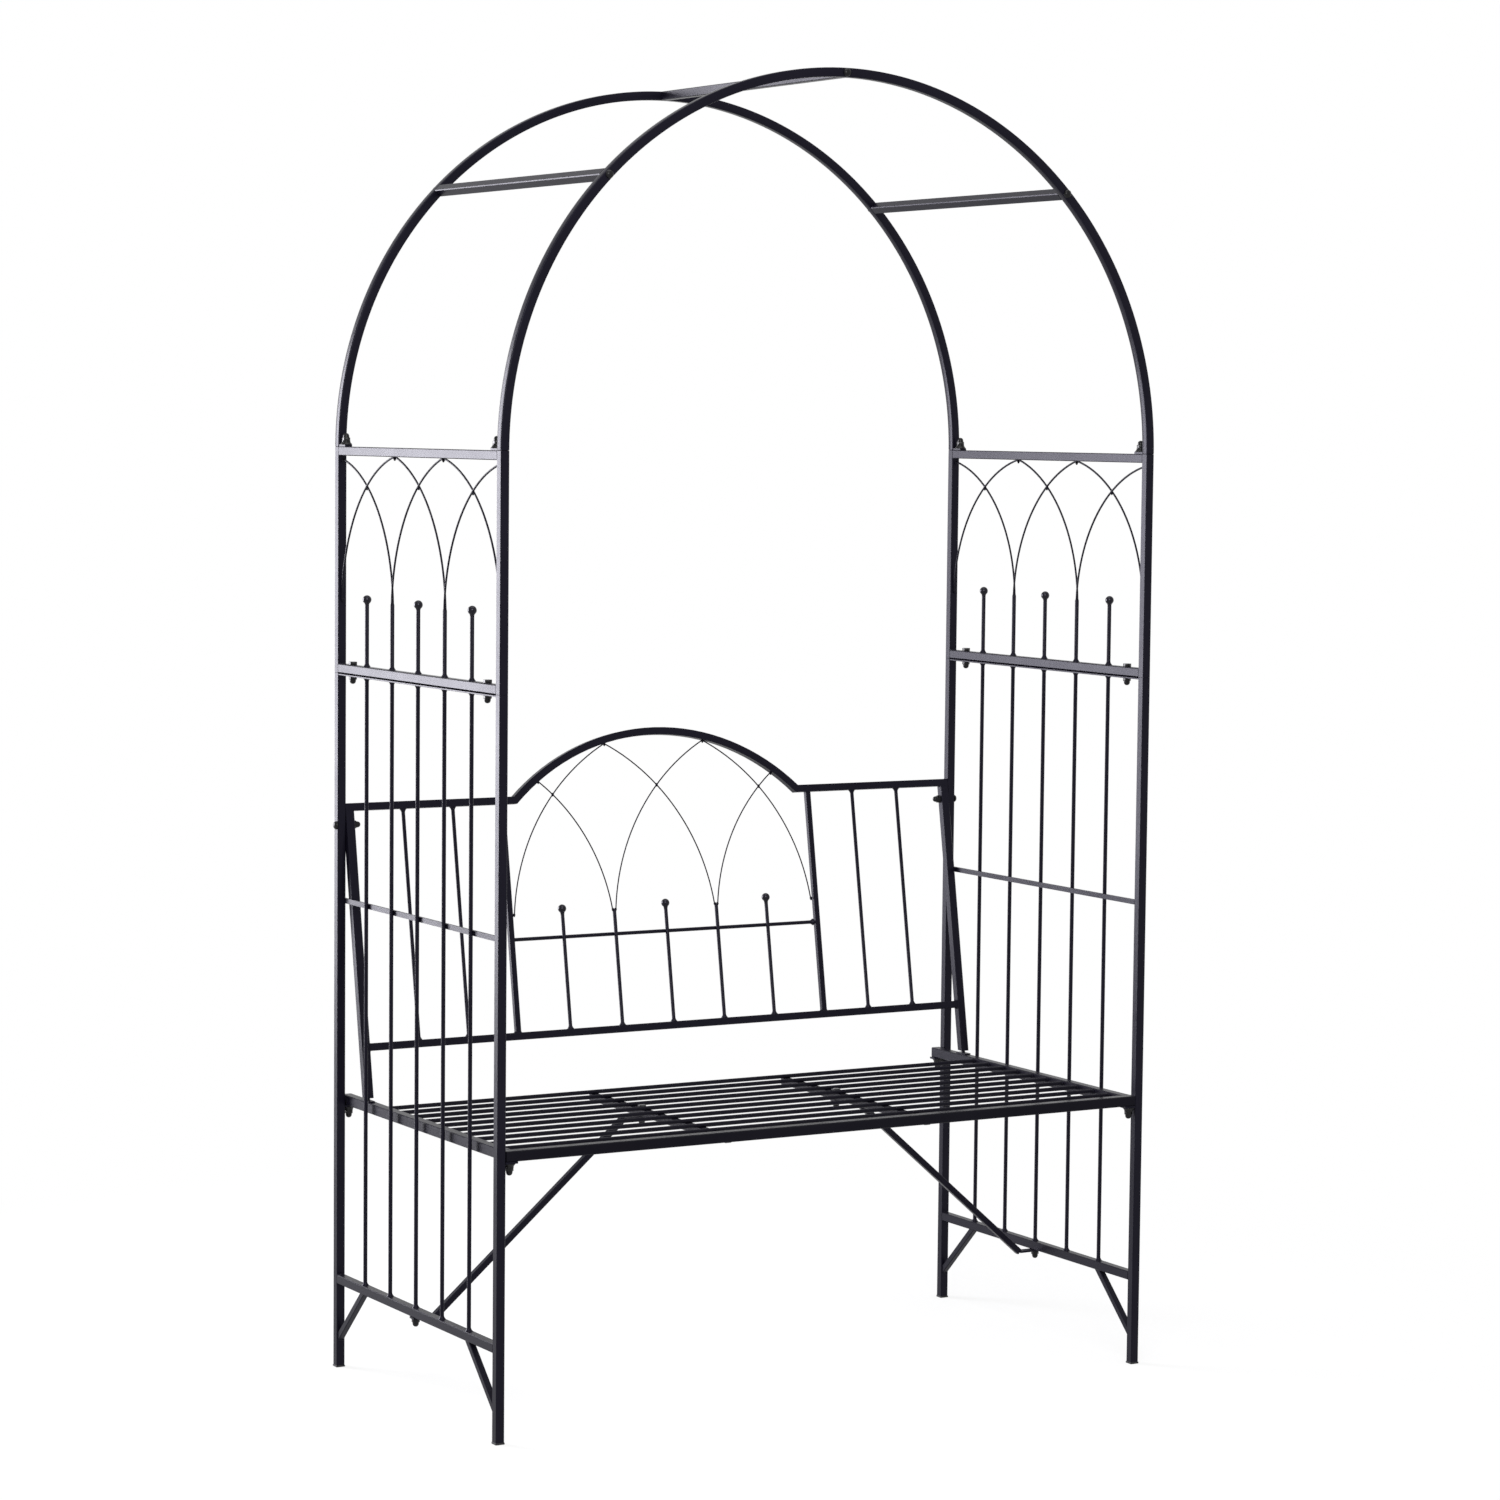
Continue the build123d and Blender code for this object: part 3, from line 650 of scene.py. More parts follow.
@dataclass
class WireLattice:
    """Bent wires that cross in a pane, welded where they touch."""

    pane: Pane
    arcs: list[Arc]
    spring: float
    floor: float
    radius: float = 1.6 * MM
    layer: float = WIRE_LAYER
    steps: int = 26
    sides: int = 10
    sink: float = 0.4
    weld: float = 2.8 * MM
    margin: float = 12.0
    halvings: int = 40

    def bend(self, arc: Arc) -> tuple[float, float, float]:
        """Find how a wire bends.

        Args:
            arc: where it starts, where it ends and how high.

        Returns:
            Its way across (1 or -1), its bend radius and where its centre is across.
        """
        start, end, rise = arc
        way = 1.0 if end > start else -1.0
        run = abs(end - start)
        climb = rise - self.spring
        bend = (run * run + climb * climb) / (2 * run)
        return way, bend, start + way * bend

    def across_at(self, arc: Arc, height: float) -> float:
        """How far across a wire is at a height."""
        way, bend, middle = self.bend(arc)
        return middle - way * math.sqrt(bend * bend - (height - self.spring) ** 2)

    def wire(self, arc: Arc) -> Object:
        """Spin one wire round the centre of its bend.

        Args:
            arc: where it starts, where it ends and how high.

        Returns:
            The wire as a closed mesh.
        """
        way, bend, middle = self.bend(arc)
        layer = way * self.layer
        first = math.asin((self.floor - self.spring) / bend)
        last = math.asin((arc[2] - self.spring) / bend) + self.sink * self.radius / bend
        spot = self.pane.at(middle - way * bend * math.cos(first), self.floor, layer)
        ahead = self.pane.across * (way * math.sin(first)) + self.pane.up * math.cos(first)
        turn = ahead.to_track_quat("Z", "Y").to_euler()
        Bench.clear()
        bpy.ops.mesh.primitive_circle_add(
            vertices=self.sides, radius=self.radius, location=spot, rotation=turn
        )
        made = bpy.context.object
        Bench.enter_edit()
        axis = self.pane.normal() * way
        center = self.pane.at(middle, self.spring, layer)
        bpy.ops.mesh.spin(steps=self.steps, angle=last - first, center=center, axis=axis)
        Bench.leave_edit(merge=True, fill=True)
        return made

    def crossing(self, one: Arc, two: Arc) -> Vector | None:
        """Find where two wires cross.

        Args:
            one: a wire.
            two: another wire.

        Returns:
            The point, or None where they don't cross.
        """
        low = self.floor + self.margin * self.radius
        high = min(one[2], two[2]) - self.margin * self.radius
        below = self.across_at(one, low) - self.across_at(two, low)
        above = self.across_at(one, high) - self.across_at(two, high)
        if below * above > 0:
            return None
        for _ in range(self.halvings):
            middle = (low + high) / 2
            here = self.across_at(one, middle) - self.across_at(two, middle)
            if here * below > 0:
                low = middle
            else:
                high = middle
        return self.pane.at(self.across_at(one, low), low)

    def welds(self) -> list[Object]:
        """Make the weld spots at the crossings and at the wires' ends.

        Returns:
            The spots as blanks.
        """
        spots = []
        for i, one in enumerate(self.arcs):
            spots.append(self.pane.at(self.across_at(one, self.floor), self.floor))
            spots.append(self.pane.at(one[1], one[2] - self.sink * self.weld))
            for two in self.arcs[i + 1:]:
                spot = self.crossing(one, two)
                if spot is not None:
                    spots.append(spot)
        drop = ((0.3, -1.7), (0.62, -1.15), (0.92, -0.5), (1.0, 0.0), (0.78, 0.55), (0.3, 0.9))
        rings = [(wide * self.weld, high * self.weld) for wide, high in drop]
        blank = Bench.turn("weld", rings, self.sides)
        return Bench.copies(blank, [Bench.stand(s, self.pane.up) for s in spots])

    def build(self, name: str) -> Object:
        """Make the whole lattice as one piece."""
        return Bench.join(name, [self.wire(a) for a in self.arcs] + self.welds())


@dataclass
class SidePanel:
    """Rods and bent wires of one side panel."""

    side: Side
    pitch: float = 92 * MM
    low_top: float = SEAM - PLATE
    tip: float = 1219 * MM
    ball: float = 1222 * MM
    spring: float = 1208 * MM
    node: float = 85 * MM
    corner_drop: float = 6 * MM
    rod: Rod = field(default_factory=lambda: Rod(radius=3.2 * MM))

    def pane(self) -> Pane:
        """The panel's plane."""
        return Pane(Vector((self.side.value * PANEL_X, 0, 0)), Vector((0, 1, 0)), UP)

    def rows(self) -> list[float]:
        """Where the rods stand along the panel."""
        return [self.pitch * i for i in (-2, -1, 0, 1, 2)]

    def balls(self) -> Spots:
        """Centres and ways up of the panel's ball finials."""
        pane = self.pane()
        return [(pane.at(y, self.ball), pane.up) for y in self.rows()[::2]]

    def row(self, rows: list[float], foot: float, top: float, welded: bool) -> list[Object]:
        """Stand a row of equal rods.

        Args:
            rows: where they stand along the panel.
            foot: height of their feet.
            top: height of their tops.
            welded: whether the tops are welded too.

        Returns:
            The rods.
        """
        pane = self.pane()
        blank = self.rod.blank(top - foot, welded)
        return Bench.copies(blank, [Bench.stand(pane.at(y, foot), pane.up) for y in rows])

    def arcs(self) -> list[Arc]:
        """List the panel's bent wires.

        Returns:
            Where each wire starts, where it ends and how high.
        """
        arcs = []
        for end in (-1, 1):
            arcs.append((end * (POST_FACE - WIRE_LAYER), end * self.node, RAIL_UNDER))
            arcs.append((end * self.pitch, end * POST_FACE, RAIL_UNDER - self.corner_drop))
            arcs.append((-end * self.pitch, end * self.node, RAIL_UNDER))
        return arcs

    def build(self, finisher: Finisher) -> None:
        """Make the panel's round pieces.

        Args:
            finisher: maker of materials.
        """
        name = self.side.name.lower()
        rows = self.rows()
        low = self.row(rows, BOTTOM_TOP, self.low_top, True)
        piece = Bench.join(f"lower_rods_{name}_round", low)
        Bench.put(piece, finisher, COAT, Slot.COAT, f"lower_rods_{name}")
        high = self.row(rows[::2], MID_TOP, self.ball - BALL_SEAT, False)
        high += self.row(rows[1::2], MID_TOP, self.tip, False)
        piece = Bench.join(f"upper_rods_{name}_round", high)
        Bench.put(piece, finisher, COAT, Slot.COAT, f"upper_rods_{name}")
        lattice = WireLattice(self.pane(), self.arcs(), self.spring, self.tip)
        piece = lattice.build(f"trellis_wires_{name}_bent")
        Bench.put(piece, finisher, WIRE, Slot.COAT, f"trellis_wires_{name}")


@dataclass
class Backrest:
    """Rods, cross rod and bent wires of the leaning backrest."""

    foot_y: float = 205 * MM
    lean: float = 9.74
    rail_under: float = 456.5 * MM
    rod_foot: float = 90.5 * MM
    bay: float = 262 * MM
    tip: float = 279 * MM
    ball: float = 284.5 * MM
    cross_up: float = 239 * MM
    spring: float = 239 * MM
    crest_inside: float = 376 * MM
    crest_center: float = 185 * MM
    node: float = 91.6 * MM
    low_node: float = 217 * MM
    rod: Rod = field(default_factory=Rod)
    wire: float = 1.05 * MM
    weld: float = 2.3 * MM

    def pane(self) -> Pane:
        """The backrest's sloping plane."""
        a = math.radians(self.lean)
        return Pane(Vector((0, self.foot_y, SEAT_TOP)), ACROSS, Vector((0, math.sin(a), math.cos(a))))

    def pitch(self) -> float:
        """Spacing of the rods between the inner stiles."""
        return INNER_STILE / 3

    def reach(self) -> float:
        """Distance from the middle to an inner stile's face."""
        return INNER_STILE - INNER_STILE_HALF

    def crest(self, x: float) -> float:
        """How far up the crest's underside is at a distance from the middle."""
        return self.crest_center + math.sqrt(self.crest_inside ** 2 - x ** 2)

    def balls(self) -> Spots:
        """Centres and ways up of the backrest's ball finials."""
        pane = self.pane()
        return [(pane.at(i * self.pitch(), self.ball), pane.up) for i in (-2, 0, 2)]

    def rods(self) -> list[Object]:
        """Stand the rods: with balls, under the wires, and in the outer bays.

        Returns:
            The rods.
        """
        pane = self.pane()
        pitch = self.pitch()
        bays = [side * (INNER_STILE + i * self.bay / 3) for side in (-1, 1) for i in (1, 2)]
        kinds = (
            ([-2 * pitch, 0.0, 2 * pitch], self.ball - BALL_SEAT, False),
            ([-pitch, pitch], self.tip, False),
            (bays, self.rail_under, True),
        )
        parts = []
        for row, top, welded in kinds:
            blank = self.rod.blank(top - self.rod_foot, welded)
            parts += Bench.copies(blank, [Bench.stand(pane.at(x, self.rod_foot), pane.up) for x in row])
        return parts

    def arcs(self) -> list[Arc]:
        """List the backrest's bent wires.

        Returns:
            Where each wire starts, where it ends and how high.
        """
        arcs = []
        for side in (-1, 1):
            arcs.append((side * (self.reach() - WIRE_LAYER), side * self.node, self.crest(self.node)))
            arcs.append((side * self.pitch(), side * self.low_node, self.crest(self.low_node)))
            arcs.append((-side * self.pitch(), side * self.node, self.crest(self.node)))
        return arcs

    def build(self, finisher: Finisher) -> None:
        """Make the backrest's round pieces.

        Args:
            finisher: maker of materials.
        """
        pane = self.pane()
        Bench.put(Bench.join("back_rods_round", self.rods()), finisher, COAT, Slot.COAT, "back_rods")
        blank = self.rod.blank(2 * self.reach(), True)
        start = pane.at(-self.reach(), self.cross_up, -2 * self.rod.radius)
        cross = Bench.copies(blank, [Bench.stand(start, pane.across)])
        piece = Bench.join("back_cross_rod_round", cross)
        Bench.put(piece, finisher, COAT, Slot.COAT, "back_cross_rod")
        lattice = WireLattice(pane, self.arcs(), self.spring, self.tip, radius=self.wire, weld=self.weld)
        Bench.put(lattice.build("back_wires_bent"), finisher, WIRE, Slot.COAT, "back_wires")


@dataclass
class Seat:
    """Round rods of the seat."""

    reach: float = 544 * MM
    height: float = 430 * MM
    first: float = -238 * MM
    pitch: float = 44 * MM
    count: int = 10
    rod: Rod = field(default_factory=lambda: Rod(radius=3.3 * MM, bead=0.8 * MM, bead_tall=2.6 * MM))

    def build(self, finisher: Finisher) -> None:
        """Make the seat's rods.

        Args:
            finisher: maker of materials.
        """
        blank = self.rod.blank(2 * self.reach, True)
        rows = [self.first + i * self.pitch for i in range(self.count)]
        spots = [Bench.stand(Vector((-self.reach, y, self.height)), ACROSS) for y in rows]
        piece = Bench.join("seat_rods_round", Bench.copies(blank, spots))
        Bench.put(piece, finisher, WIRE, Slot.COAT, "seat_rods")


@dataclass
class Strip:
    """Flat bar along the top of a lower panel, undercut where the rail sits on it."""

    side: Side
    wide: float = 13.6 * MM
    neck: float = 8.6 * MM
    lip: float = 13.2 * MM
    under: float = 1.8 * MM
    face: float = 1.7 * MM
    edge: float = 0.4 * MM

    def build(self, finisher: Finisher) -> None:
        """Draw the bar's section downwards, one step at a time.

        Args:
            finisher: maker of materials.
        """
        Bench.clear()
        bpy.ops.mesh.primitive_plane_add(size=1, location=(self.side.value * PANEL_X, 0, SEAM))
        bar = bpy.context.object
        bar.scale = (self.wide, 2 * POST_FACE, 1)
        Bench.enter_edit()
        slim = self.lip - 2 * self.edge
        steps = (
            (self.under, self.wide, self.neck),
            (0.0, self.neck, self.lip),
            (self.face, self.lip, self.lip),
            (self.edge, self.lip, slim),
        )
        for down, before, after in steps:
            bpy.ops.mesh.extrude_region_move(TRANSFORM_OT_translate={"value": (0, 0, -down)})
            bpy.ops.transform.resize(value=(after / before, 1, 1))
        Bench.leave_edit(fill=True)
        name = f"top_strip_{self.side.name.lower()}"
        Bench.put(Bench.join(f"{name}_drawn", [bar]), finisher, COAT, Slot.COAT, name)


@dataclass
class WeldSeams:
    """Rippled weld beads in the corners where tubes meet."""

    radius: float = 1.5 * MM
    ripple: float = 0.22 * MM
    step: float = 1.1 * MM
    tip: float = 0.35
    sides: int = 10
    rail_heights: tuple[float, ...] = (BOTTOM_UNDER, BOTTOM_TOP, MID_TOP, RAIL_UNDER)
    seat_face: float = 544 * MM
    front_face: float = -274 * MM
    strut_y: float = 187 * MM
    strut_half: float = 6.8 * MM
    strut_foot: float = 50 * MM
    back_rail: float = 84.5 * MM
    back_half: float = 6 * MM
    rail_bead: float = 12 * MM
    strut_bead: float = 8.5 * MM
    corner_bead: float = 14 * MM
    member_bead: float = 10 * MM
    back_bead: float = 10 * MM
    stile_bead: float = 7.5 * MM

    def blank(self, length: float) -> Object:
        """Turn a bead with ripples along its length.

        Args:
            length: length of the bead.

        Returns:
            The blank, standing on Z with its middle at the origin.
        """
        count = max(4, round(length / self.step))
        rings = [(self.tip * self.radius, -length / 2)]
        for i in range(count):
            swing = self.ripple if i % 2 else -self.ripple
            rings.append((self.radius + swing, -length / 2 + length * (i + 0.5) / count))
        rings.append((self.tip * self.radius, length / 2))
        return Bench.turn("bead", rings, self.sides)

    def panel_spots(self, side: Side) -> tuple[list[Vector], list[Vector]]:
        """Find the beads of one side panel, which all lie across it.

        Args:
            side: which panel.

        Returns:
            Middles of the beads at the rails' ends, and at the struts' ends.
        """
        x = side.value * PANEL_X
        rails, struts = [], []
        for end in (-1, 1):
            rails += [Vector((x, end * POST_FACE, height)) for height in self.rail_heights]
            for edge in (-self.strut_half, self.strut_half):
                struts.append(Vector((x, end * (self.strut_y + edge), BOTTOM_UNDER)))
                struts.append(Vector((x, end * POST_FACE, self.strut_foot + edge)))
        return rails, struts

    def back_spots(self, side: Side, pane: Pane) -> tuple[list[Vector], list[Vector]]:
        """Find the beads of one half of the backrest, which all lie along its normal.

        Args:
            side: which half.
            pane: the backrest's plane.

        Returns:
            Middles of the beads at the bottom rail's end, and at the inner stile's foot.
        """
        ends, stiles = [], []
        for edge in (-1, 1):
            ends.append(pane.at(side.value * STILE_INSIDE, self.back_rail + edge * self.back_half))
            x = side.value * INNER_STILE + edge * INNER_STILE_HALF
            stiles.append(pane.at(x, self.back_rail + self.back_half))
        return ends, stiles

    def build(self, finisher: Finisher, pane: Pane) -> None:
        """Lay the beads.

        Args:
            finisher: maker of materials.
            pane: the backrest's plane.
        """
        parts = []
        for side in Side:
            rails, struts = self.panel_spots(side)
            ends, stiles = self.back_spots(side, pane)
            corner = Vector((side.value * self.seat_face, self.front_face, SEAT_TOP - SEAT_TUBE / 2))
            member = Vector((side.value * MEMBER_X, self.front_face, MEMBER_TOP))
            groups = (
                (self.rail_bead, rails, ACROSS),
                (self.strut_bead, struts, ACROSS),
                (self.corner_bead, [corner], UP),
                (self.member_bead, [member], ACROSS),
                (self.back_bead, ends, pane.normal()),
                (self.stile_bead, stiles, pane.normal()),
            )
            for length, spots, way in groups:
                parts += Bench.copies(self.blank(length), [Bench.stand(spot, way) for spot in spots])
        Bench.put(Bench.join("weld_seams", parts), finisher, COAT, Slot.COAT)


@dataclass
class Hoop:
    """One quarter of a hoop: a square tube bent from its post to the crown."""

    side: Side
    end: End
    corner: float = 1.6 * MM
    steps: int = 72
    seam: float = 0.5 * MM
    gap: float = 0.2 * MM

    def section(self, x: float, y: float) -> Object:
        """Draw the tube's rounded section and lift it by the eased edge at its foot.

        Args:
            x: where the tube stands, left to right.
            y: where it stands, front to rear.

        Returns:
            The short foot of the tube, with nothing selected.
        """
        Bench.clear()
        bpy.ops.mesh.primitive_plane_add(size=TUBE, location=(x, y, PANEL_TOP + self.gap))
        hoop = bpy.context.object
        Bench.enter_edit()
        bpy.ops.mesh.bevel(offset=self.corner, segments=3, affect="VERTICES")
        bpy.ops.mesh.select_all(action="SELECT")
        bpy.ops.mesh.extrude_region_move(TRANSFORM_OT_translate={"value": (0, 0, self.seam)})
        bpy.ops.mesh.select_all(action="DESELECT")
        bpy.ops.object.mode_set(mode="OBJECT")
        return hoop

    def build(self, finisher: Finisher) -> None:
        """Bend the quarter from a rounded section.

        Args:
            finisher: maker of materials.
        """
        x, y = self.side.value * PANEL_X, self.end.value * POST_Y
        hoop = self.section(x, y)
        low = min(v.co.z for v in hoop.data.vertices)
        # Ease the edge of the foot, then spin the face on top of it
        for part in (*hoop.data.polygons, *hoop.data.edges, *hoop.data.vertices):
            part.select = False
        for vertex in hoop.data.vertices:
            vertex.select = vertex.co.z < low + 0.1 * self.seam
        bpy.ops.object.mode_set(mode="EDIT")
        ease = 1 - 2 * self.seam / TUBE
        bpy.ops.transform.resize(value=(ease, ease, 1), center_override=(x, y, low))
        bpy.ops.mesh.select_all(action="DESELECT")
        bpy.ops.object.mode_set(mode="OBJECT")
        for face in hoop.data.polygons:
            face.select = face.center.z > low + 0.9 * self.seam
        bpy.ops.object.mode_set(mode="EDIT")
        axis = (0, self.side.value, 0)
        bpy.ops.mesh.spin(steps=self.steps, angle=math.radians(90), center=(0, y, PANEL_TOP), axis=axis)
        Bench.leave_edit(merge=True)
        name = f"hoop_{self.end.name.lower()}_{self.side.name.lower()}"
        Bench.put(Bench.join(f"{name}_bent", [hoop]), finisher, COAT, Slot.COAT, name)


@dataclass
class Finials:
    """Balls on the rods of the panels and the backrest."""

    radius: float = 6.9 * MM
    neck: float = 3 * MM
    sides: int = 24
    latitudes: tuple[float, ...] = (-56, -40, -20, 0, 20, 38, 55, 70, 82)

    def build(self, finisher: Finisher, spots: Spots) -> None:
        """Make the balls.

        Args:
            finisher: maker of materials.
            spots: centre and way up of each ball.
        """
        r = self.radius
        rings = [(self.neck, -1.5 * r), (1.08 * self.neck, -1.15 * r)]
        for degrees in self.latitudes:
            a = math.radians(degrees)
            rings.append((r * math.cos(a), r * math.sin(a)))
        blank = Bench.turn("ball", rings, self.sides)
        balls = Bench.copies(blank, [Bench.stand(center, up) for center, up in spots])
        piece = Bench.join("ball_finials_turned", balls)
        Bench.put(piece, finisher, BALL, Slot.COAT, "ball_finials")


@dataclass
class Fasteners:
    """Bolts and acorn nuts of every joint."""

    panel_bolt: float = 236 * MM
    hoop_bolt: float = 263 * MM
    seat_x: float = 552 * MM
    member: float = 12 * MM
    half_width: float = 575 * MM
    back_y: float = 281 * MM
    back_z: float = 863.5 * MM
    depth: float = 290 * MM
    bar_angles: tuple[float, ...] = (45, 90, 135)
    flats: float = 11.4 * MM
    head: float = 5.2 * MM
    head_ease: float = 0.35 * MM
    cone: float = 5.5 * MM
    nut_flats: float = 11 * MM
    nut_hex: float = 5.6 * MM
    nut_ease: float = 0.4 * MM
    shank: float = 2.95 * MM
    grip: float = 9 * MM
    back_shank: float = 28 * MM
    bar_shank: float = 24 * MM
    sides: int = 28
    small_sides: int = 24
    stem_sides: int = 14

    def stem(self, length: float) -> Rings:
        """Rings of a shank, from its tapered tip up to the floor."""
        return [(0.8 * self.shank, -length), (self.shank, 1 * MM - length), (self.shank, 0.0)]

    @staticmethod
    def rings(*sizes: tuple[float, float]) -> Rings:
        """Rings of a turned form, from sizes in millimetres."""
        return [(wide * MM, high * MM) for wide, high in sizes]

    def hex_blank(self, length: float) -> Object:
        """Make a hex bolt with a washer face under its head.

        Args:
            length: length of the shank.

        Returns:
            The blank, head up, seated at the floor.
        """
        head = Bench.hexagon("head", self.flats, self.head, self.head_ease)
        face = Bench.turn("face", self.rings((6.4, 0.0), (6.4, 0.7), (6.0, 0.9)), self.small_sides)
        stem = Bench.turn("stem", self.stem(length), self.stem_sides)
        return Bench.join("hex_bolt", [head, face, stem])

    def round_blank(self, length: float) -> Object:
        """Make a round-head bolt.

        Args:
            length: length of the shank.

        Returns:
            The blank, head up, seated at the floor.
        """
        head = self.rings(
            (6.3, 0.0), (6.5, 0.4), (6.45, 1.2), (6.0, 2.4), (5.1, 3.5), (3.7, 4.4), (1.9, 4.9), (0.5, 5.0)
        )
        return Bench.turn("round_bolt", self.stem(length) + head, self.sides)

    def nut_blank(self) -> Object:
        """Make an acorn nut: flange, hexagon and dome.

        Returns:
            The blank, dome up, seated at the floor.
        """
        flange = self.rings((6.5, 0.0), (6.6, 0.3), (6.5, 0.9), (5.9, 1.3))
        dome = self.rings(
            (5.0, 5.0), (4.95, 6.6), (4.8, 8.4), (4.3, 10.0), (3.4, 11.3), (2.1, 12.1), (0.7, 12.45)
        )
        parts = [
            Bench.turn("flange", flange, self.sides),
            Bench.hexagon("hexagon", self.nut_flats, self.nut_hex, self.nut_ease),
            Bench.turn("dome", dome, self.small_sides),
        ]
        return Bench.join("acorn_nut", parts)

    def cone_blank(self) -> Object:
        """Make the flared seat under a nut of the hoop or the bench.

        Returns:
            The blank, wide end down, seated at the floor.
        """
        flare = self.rings((9.2, 0.0), (9.3, 0.5), (8.9, 1.2), (7.6, 2.6), (6.7, 4.2))
        return Bench.turn("cone", flare + [(6.5 * MM, self.cone)], self.sides)

    def seats(self) -> Spots:
        """Find the flared seats at the hoops' feet and under the bench's corners.

        Returns:
            Spot and way of each seat.
        """
        spots = []
        under = SEAT_TOP - SEAT_TUBE - PLATE
        for side in (-1, 1):
            for end in (-1, 1):
                spots.append((Vector((side * PANEL_X, end * self.hoop_bolt, PANEL_TOP + PLATE)), UP))
                spots.append((Vector((side * self.seat_x, end * POST_Y, under)), DOWN))
        return spots

    def nuts(self) -> Spots:
        """Find the acorn nuts.

        Returns:
            Spot and way of each nut.
        """
        spots = [(spot + way * self.cone, way) for spot, way in self.seats()]
        for side in (-1, 1):
            x = side * PANEL_X
            for end in (-1, 1):
                spots.append((Vector((x, end * self.panel_bolt, SEAM - PLATE)), DOWN))
            spots.append((Vector((side * MEMBER_X, 0, MEMBER_TOP - self.member - PLATE)), DOWN))
            spots.append((Vector((x, 0, BOTTOM_UNDER - PLATE)), DOWN))
            spots.append((Vector((side * STILE_INSIDE, self.back_y, self.back_z)), -side * ACROSS))
        return spots

    def bolts(self) -> dict[str, Spots]:
        """Find the bolts.

        Returns:
            Spot and way of each bolt, by the name of their node.
        """
        panel, member, back, bar = [], [], [], []
        for side in (-1, 1):
            for end in (-1, 1):
                panel.append((Vector((side * PANEL_X, end * self.panel_bolt, MID_TOP)), UP))
            member.append((Vector((side * MEMBER_X, 0, MEMBER_TOP)), UP))
            back.append((Vector((side * self.half_width, self.back_y, self.back_z)), side * ACROSS))
        for degrees in self.bar_angles:
            a = math.radians(degrees)
            for end in (-1, 1):
                x, z = PANEL_X * math.cos(a), PANEL_TOP + PANEL_X * math.sin(a)
                bar.append((Vector((x, end * self.depth, z)), Vector((0, end, 0))))
        return {"panel_bolts": panel, "brace_bolts": member, "back_bolts": back, "crossbar_bolts": bar}

    def build(self, finisher: Finisher) -> None:
        """Make every bolt and nut.

        Args:
            finisher: maker of materials.
        """
        blanks = {
            "panel_bolts": self.hex_blank(TUBE + PLATE + self.grip),
            "brace_bolts": self.hex_blank(self.member + PLATE + self.grip),
            "back_bolts": self.round_blank(self.back_shank + self.grip),
            "crossbar_bolts": self.round_blank(self.bar_shank),
        }
        for name, spots in self.bolts().items():
            parts = Bench.copies(blanks[name], [Bench.stand(spot, way) for spot, way in spots])
            Bench.put(Bench.join(f"{name}_made", parts), finisher, BLACKED, Slot.FASTENER, name)
        parts = []
        for blank, spots in ((self.nut_blank(), self.nuts()), (self.cone_blank(), self.seats())):
            parts += Bench.copies(blank, [Bench.stand(spot, way) for spot, way in spots])
        Bench.put(Bench.join("acorn_nuts_made", parts), finisher, BLACKED, Slot.FASTENER, "acorn_nuts")


@dataclass
class Feet:
    """Moulded caps under the posts."""

    half: float = 7.5 * MM
    tall: float = 3 * MM
    ease: float = 0.8 * MM

    def build(self, finisher: Finisher) -> None:
        """Make the four caps with eased rims.

        Args:
            finisher: maker of materials.
        """
        Bench.clear()
        bpy.ops.mesh.primitive_cube_add(size=2 * self.half, location=(0, 0, self.tall / 2))
        cap = bpy.context.object
        cap.scale = (1, 1, self.tall / (2 * self.half))
        Bench.enter_edit()
        bpy.ops.mesh.bevel(offset=self.ease, segments=3, affect="EDGES")
        bpy.ops.object.mode_set(mode="OBJECT")
        spots = [Matrix.Translation((s * PANEL_X, e * POST_Y, 0)) for s in (-1, 1) for e in (-1, 1)]
        piece = Bench.join("foot_caps_moulded", Bench.copies(cap, spots))
        Bench.put(piece, finisher, MOULDED, Slot.CAP, "foot_caps")


@dataclass(frozen=True)
class Lamp:
    """A soft box that looks at the middle of the arch."""

    name: str
    place: tuple[float, float, float]
    wide: float
    tall: float
    power: float
    color: Color = PLAIN
    aim: tuple[float, float, float] = (0, 0, 1.0)

    def build(self) -> None:
        """Hang the lamp.

        It is an area lamp of the given size, turned to its aim.
        """
        Bench.clear()
        bpy.ops.object.light_add(type="AREA", location=self.place)
        lamp = bpy.context.object
        lamp.name = self.name
        lamp.data.shape = "RECTANGLE"
        lamp.data.size = self.wide
        lamp.data.size_y = self.tall
        lamp.data.energy = self.power
        lamp.data.color = self.color
        way = Vector(self.aim) - Vector(self.place)
        lamp.rotation_euler = way.to_track_quat("-Z", "Y").to_euler()


LAMPS = (
    Lamp("left_window", (-2.85, 3.6, 1.38), wide=1.9, tall=2.5, power=318.0, color=(0.94, 0.93, 1.0)),
    Lamp("top_soft", (-0.4, -0.6, 4.6), wide=3.0, tall=3.0, power=70.0),
    Lamp("front_soft", (-2.1, -3.7, 2.75), wide=2.4, tall=1.8, power=110.0),
)


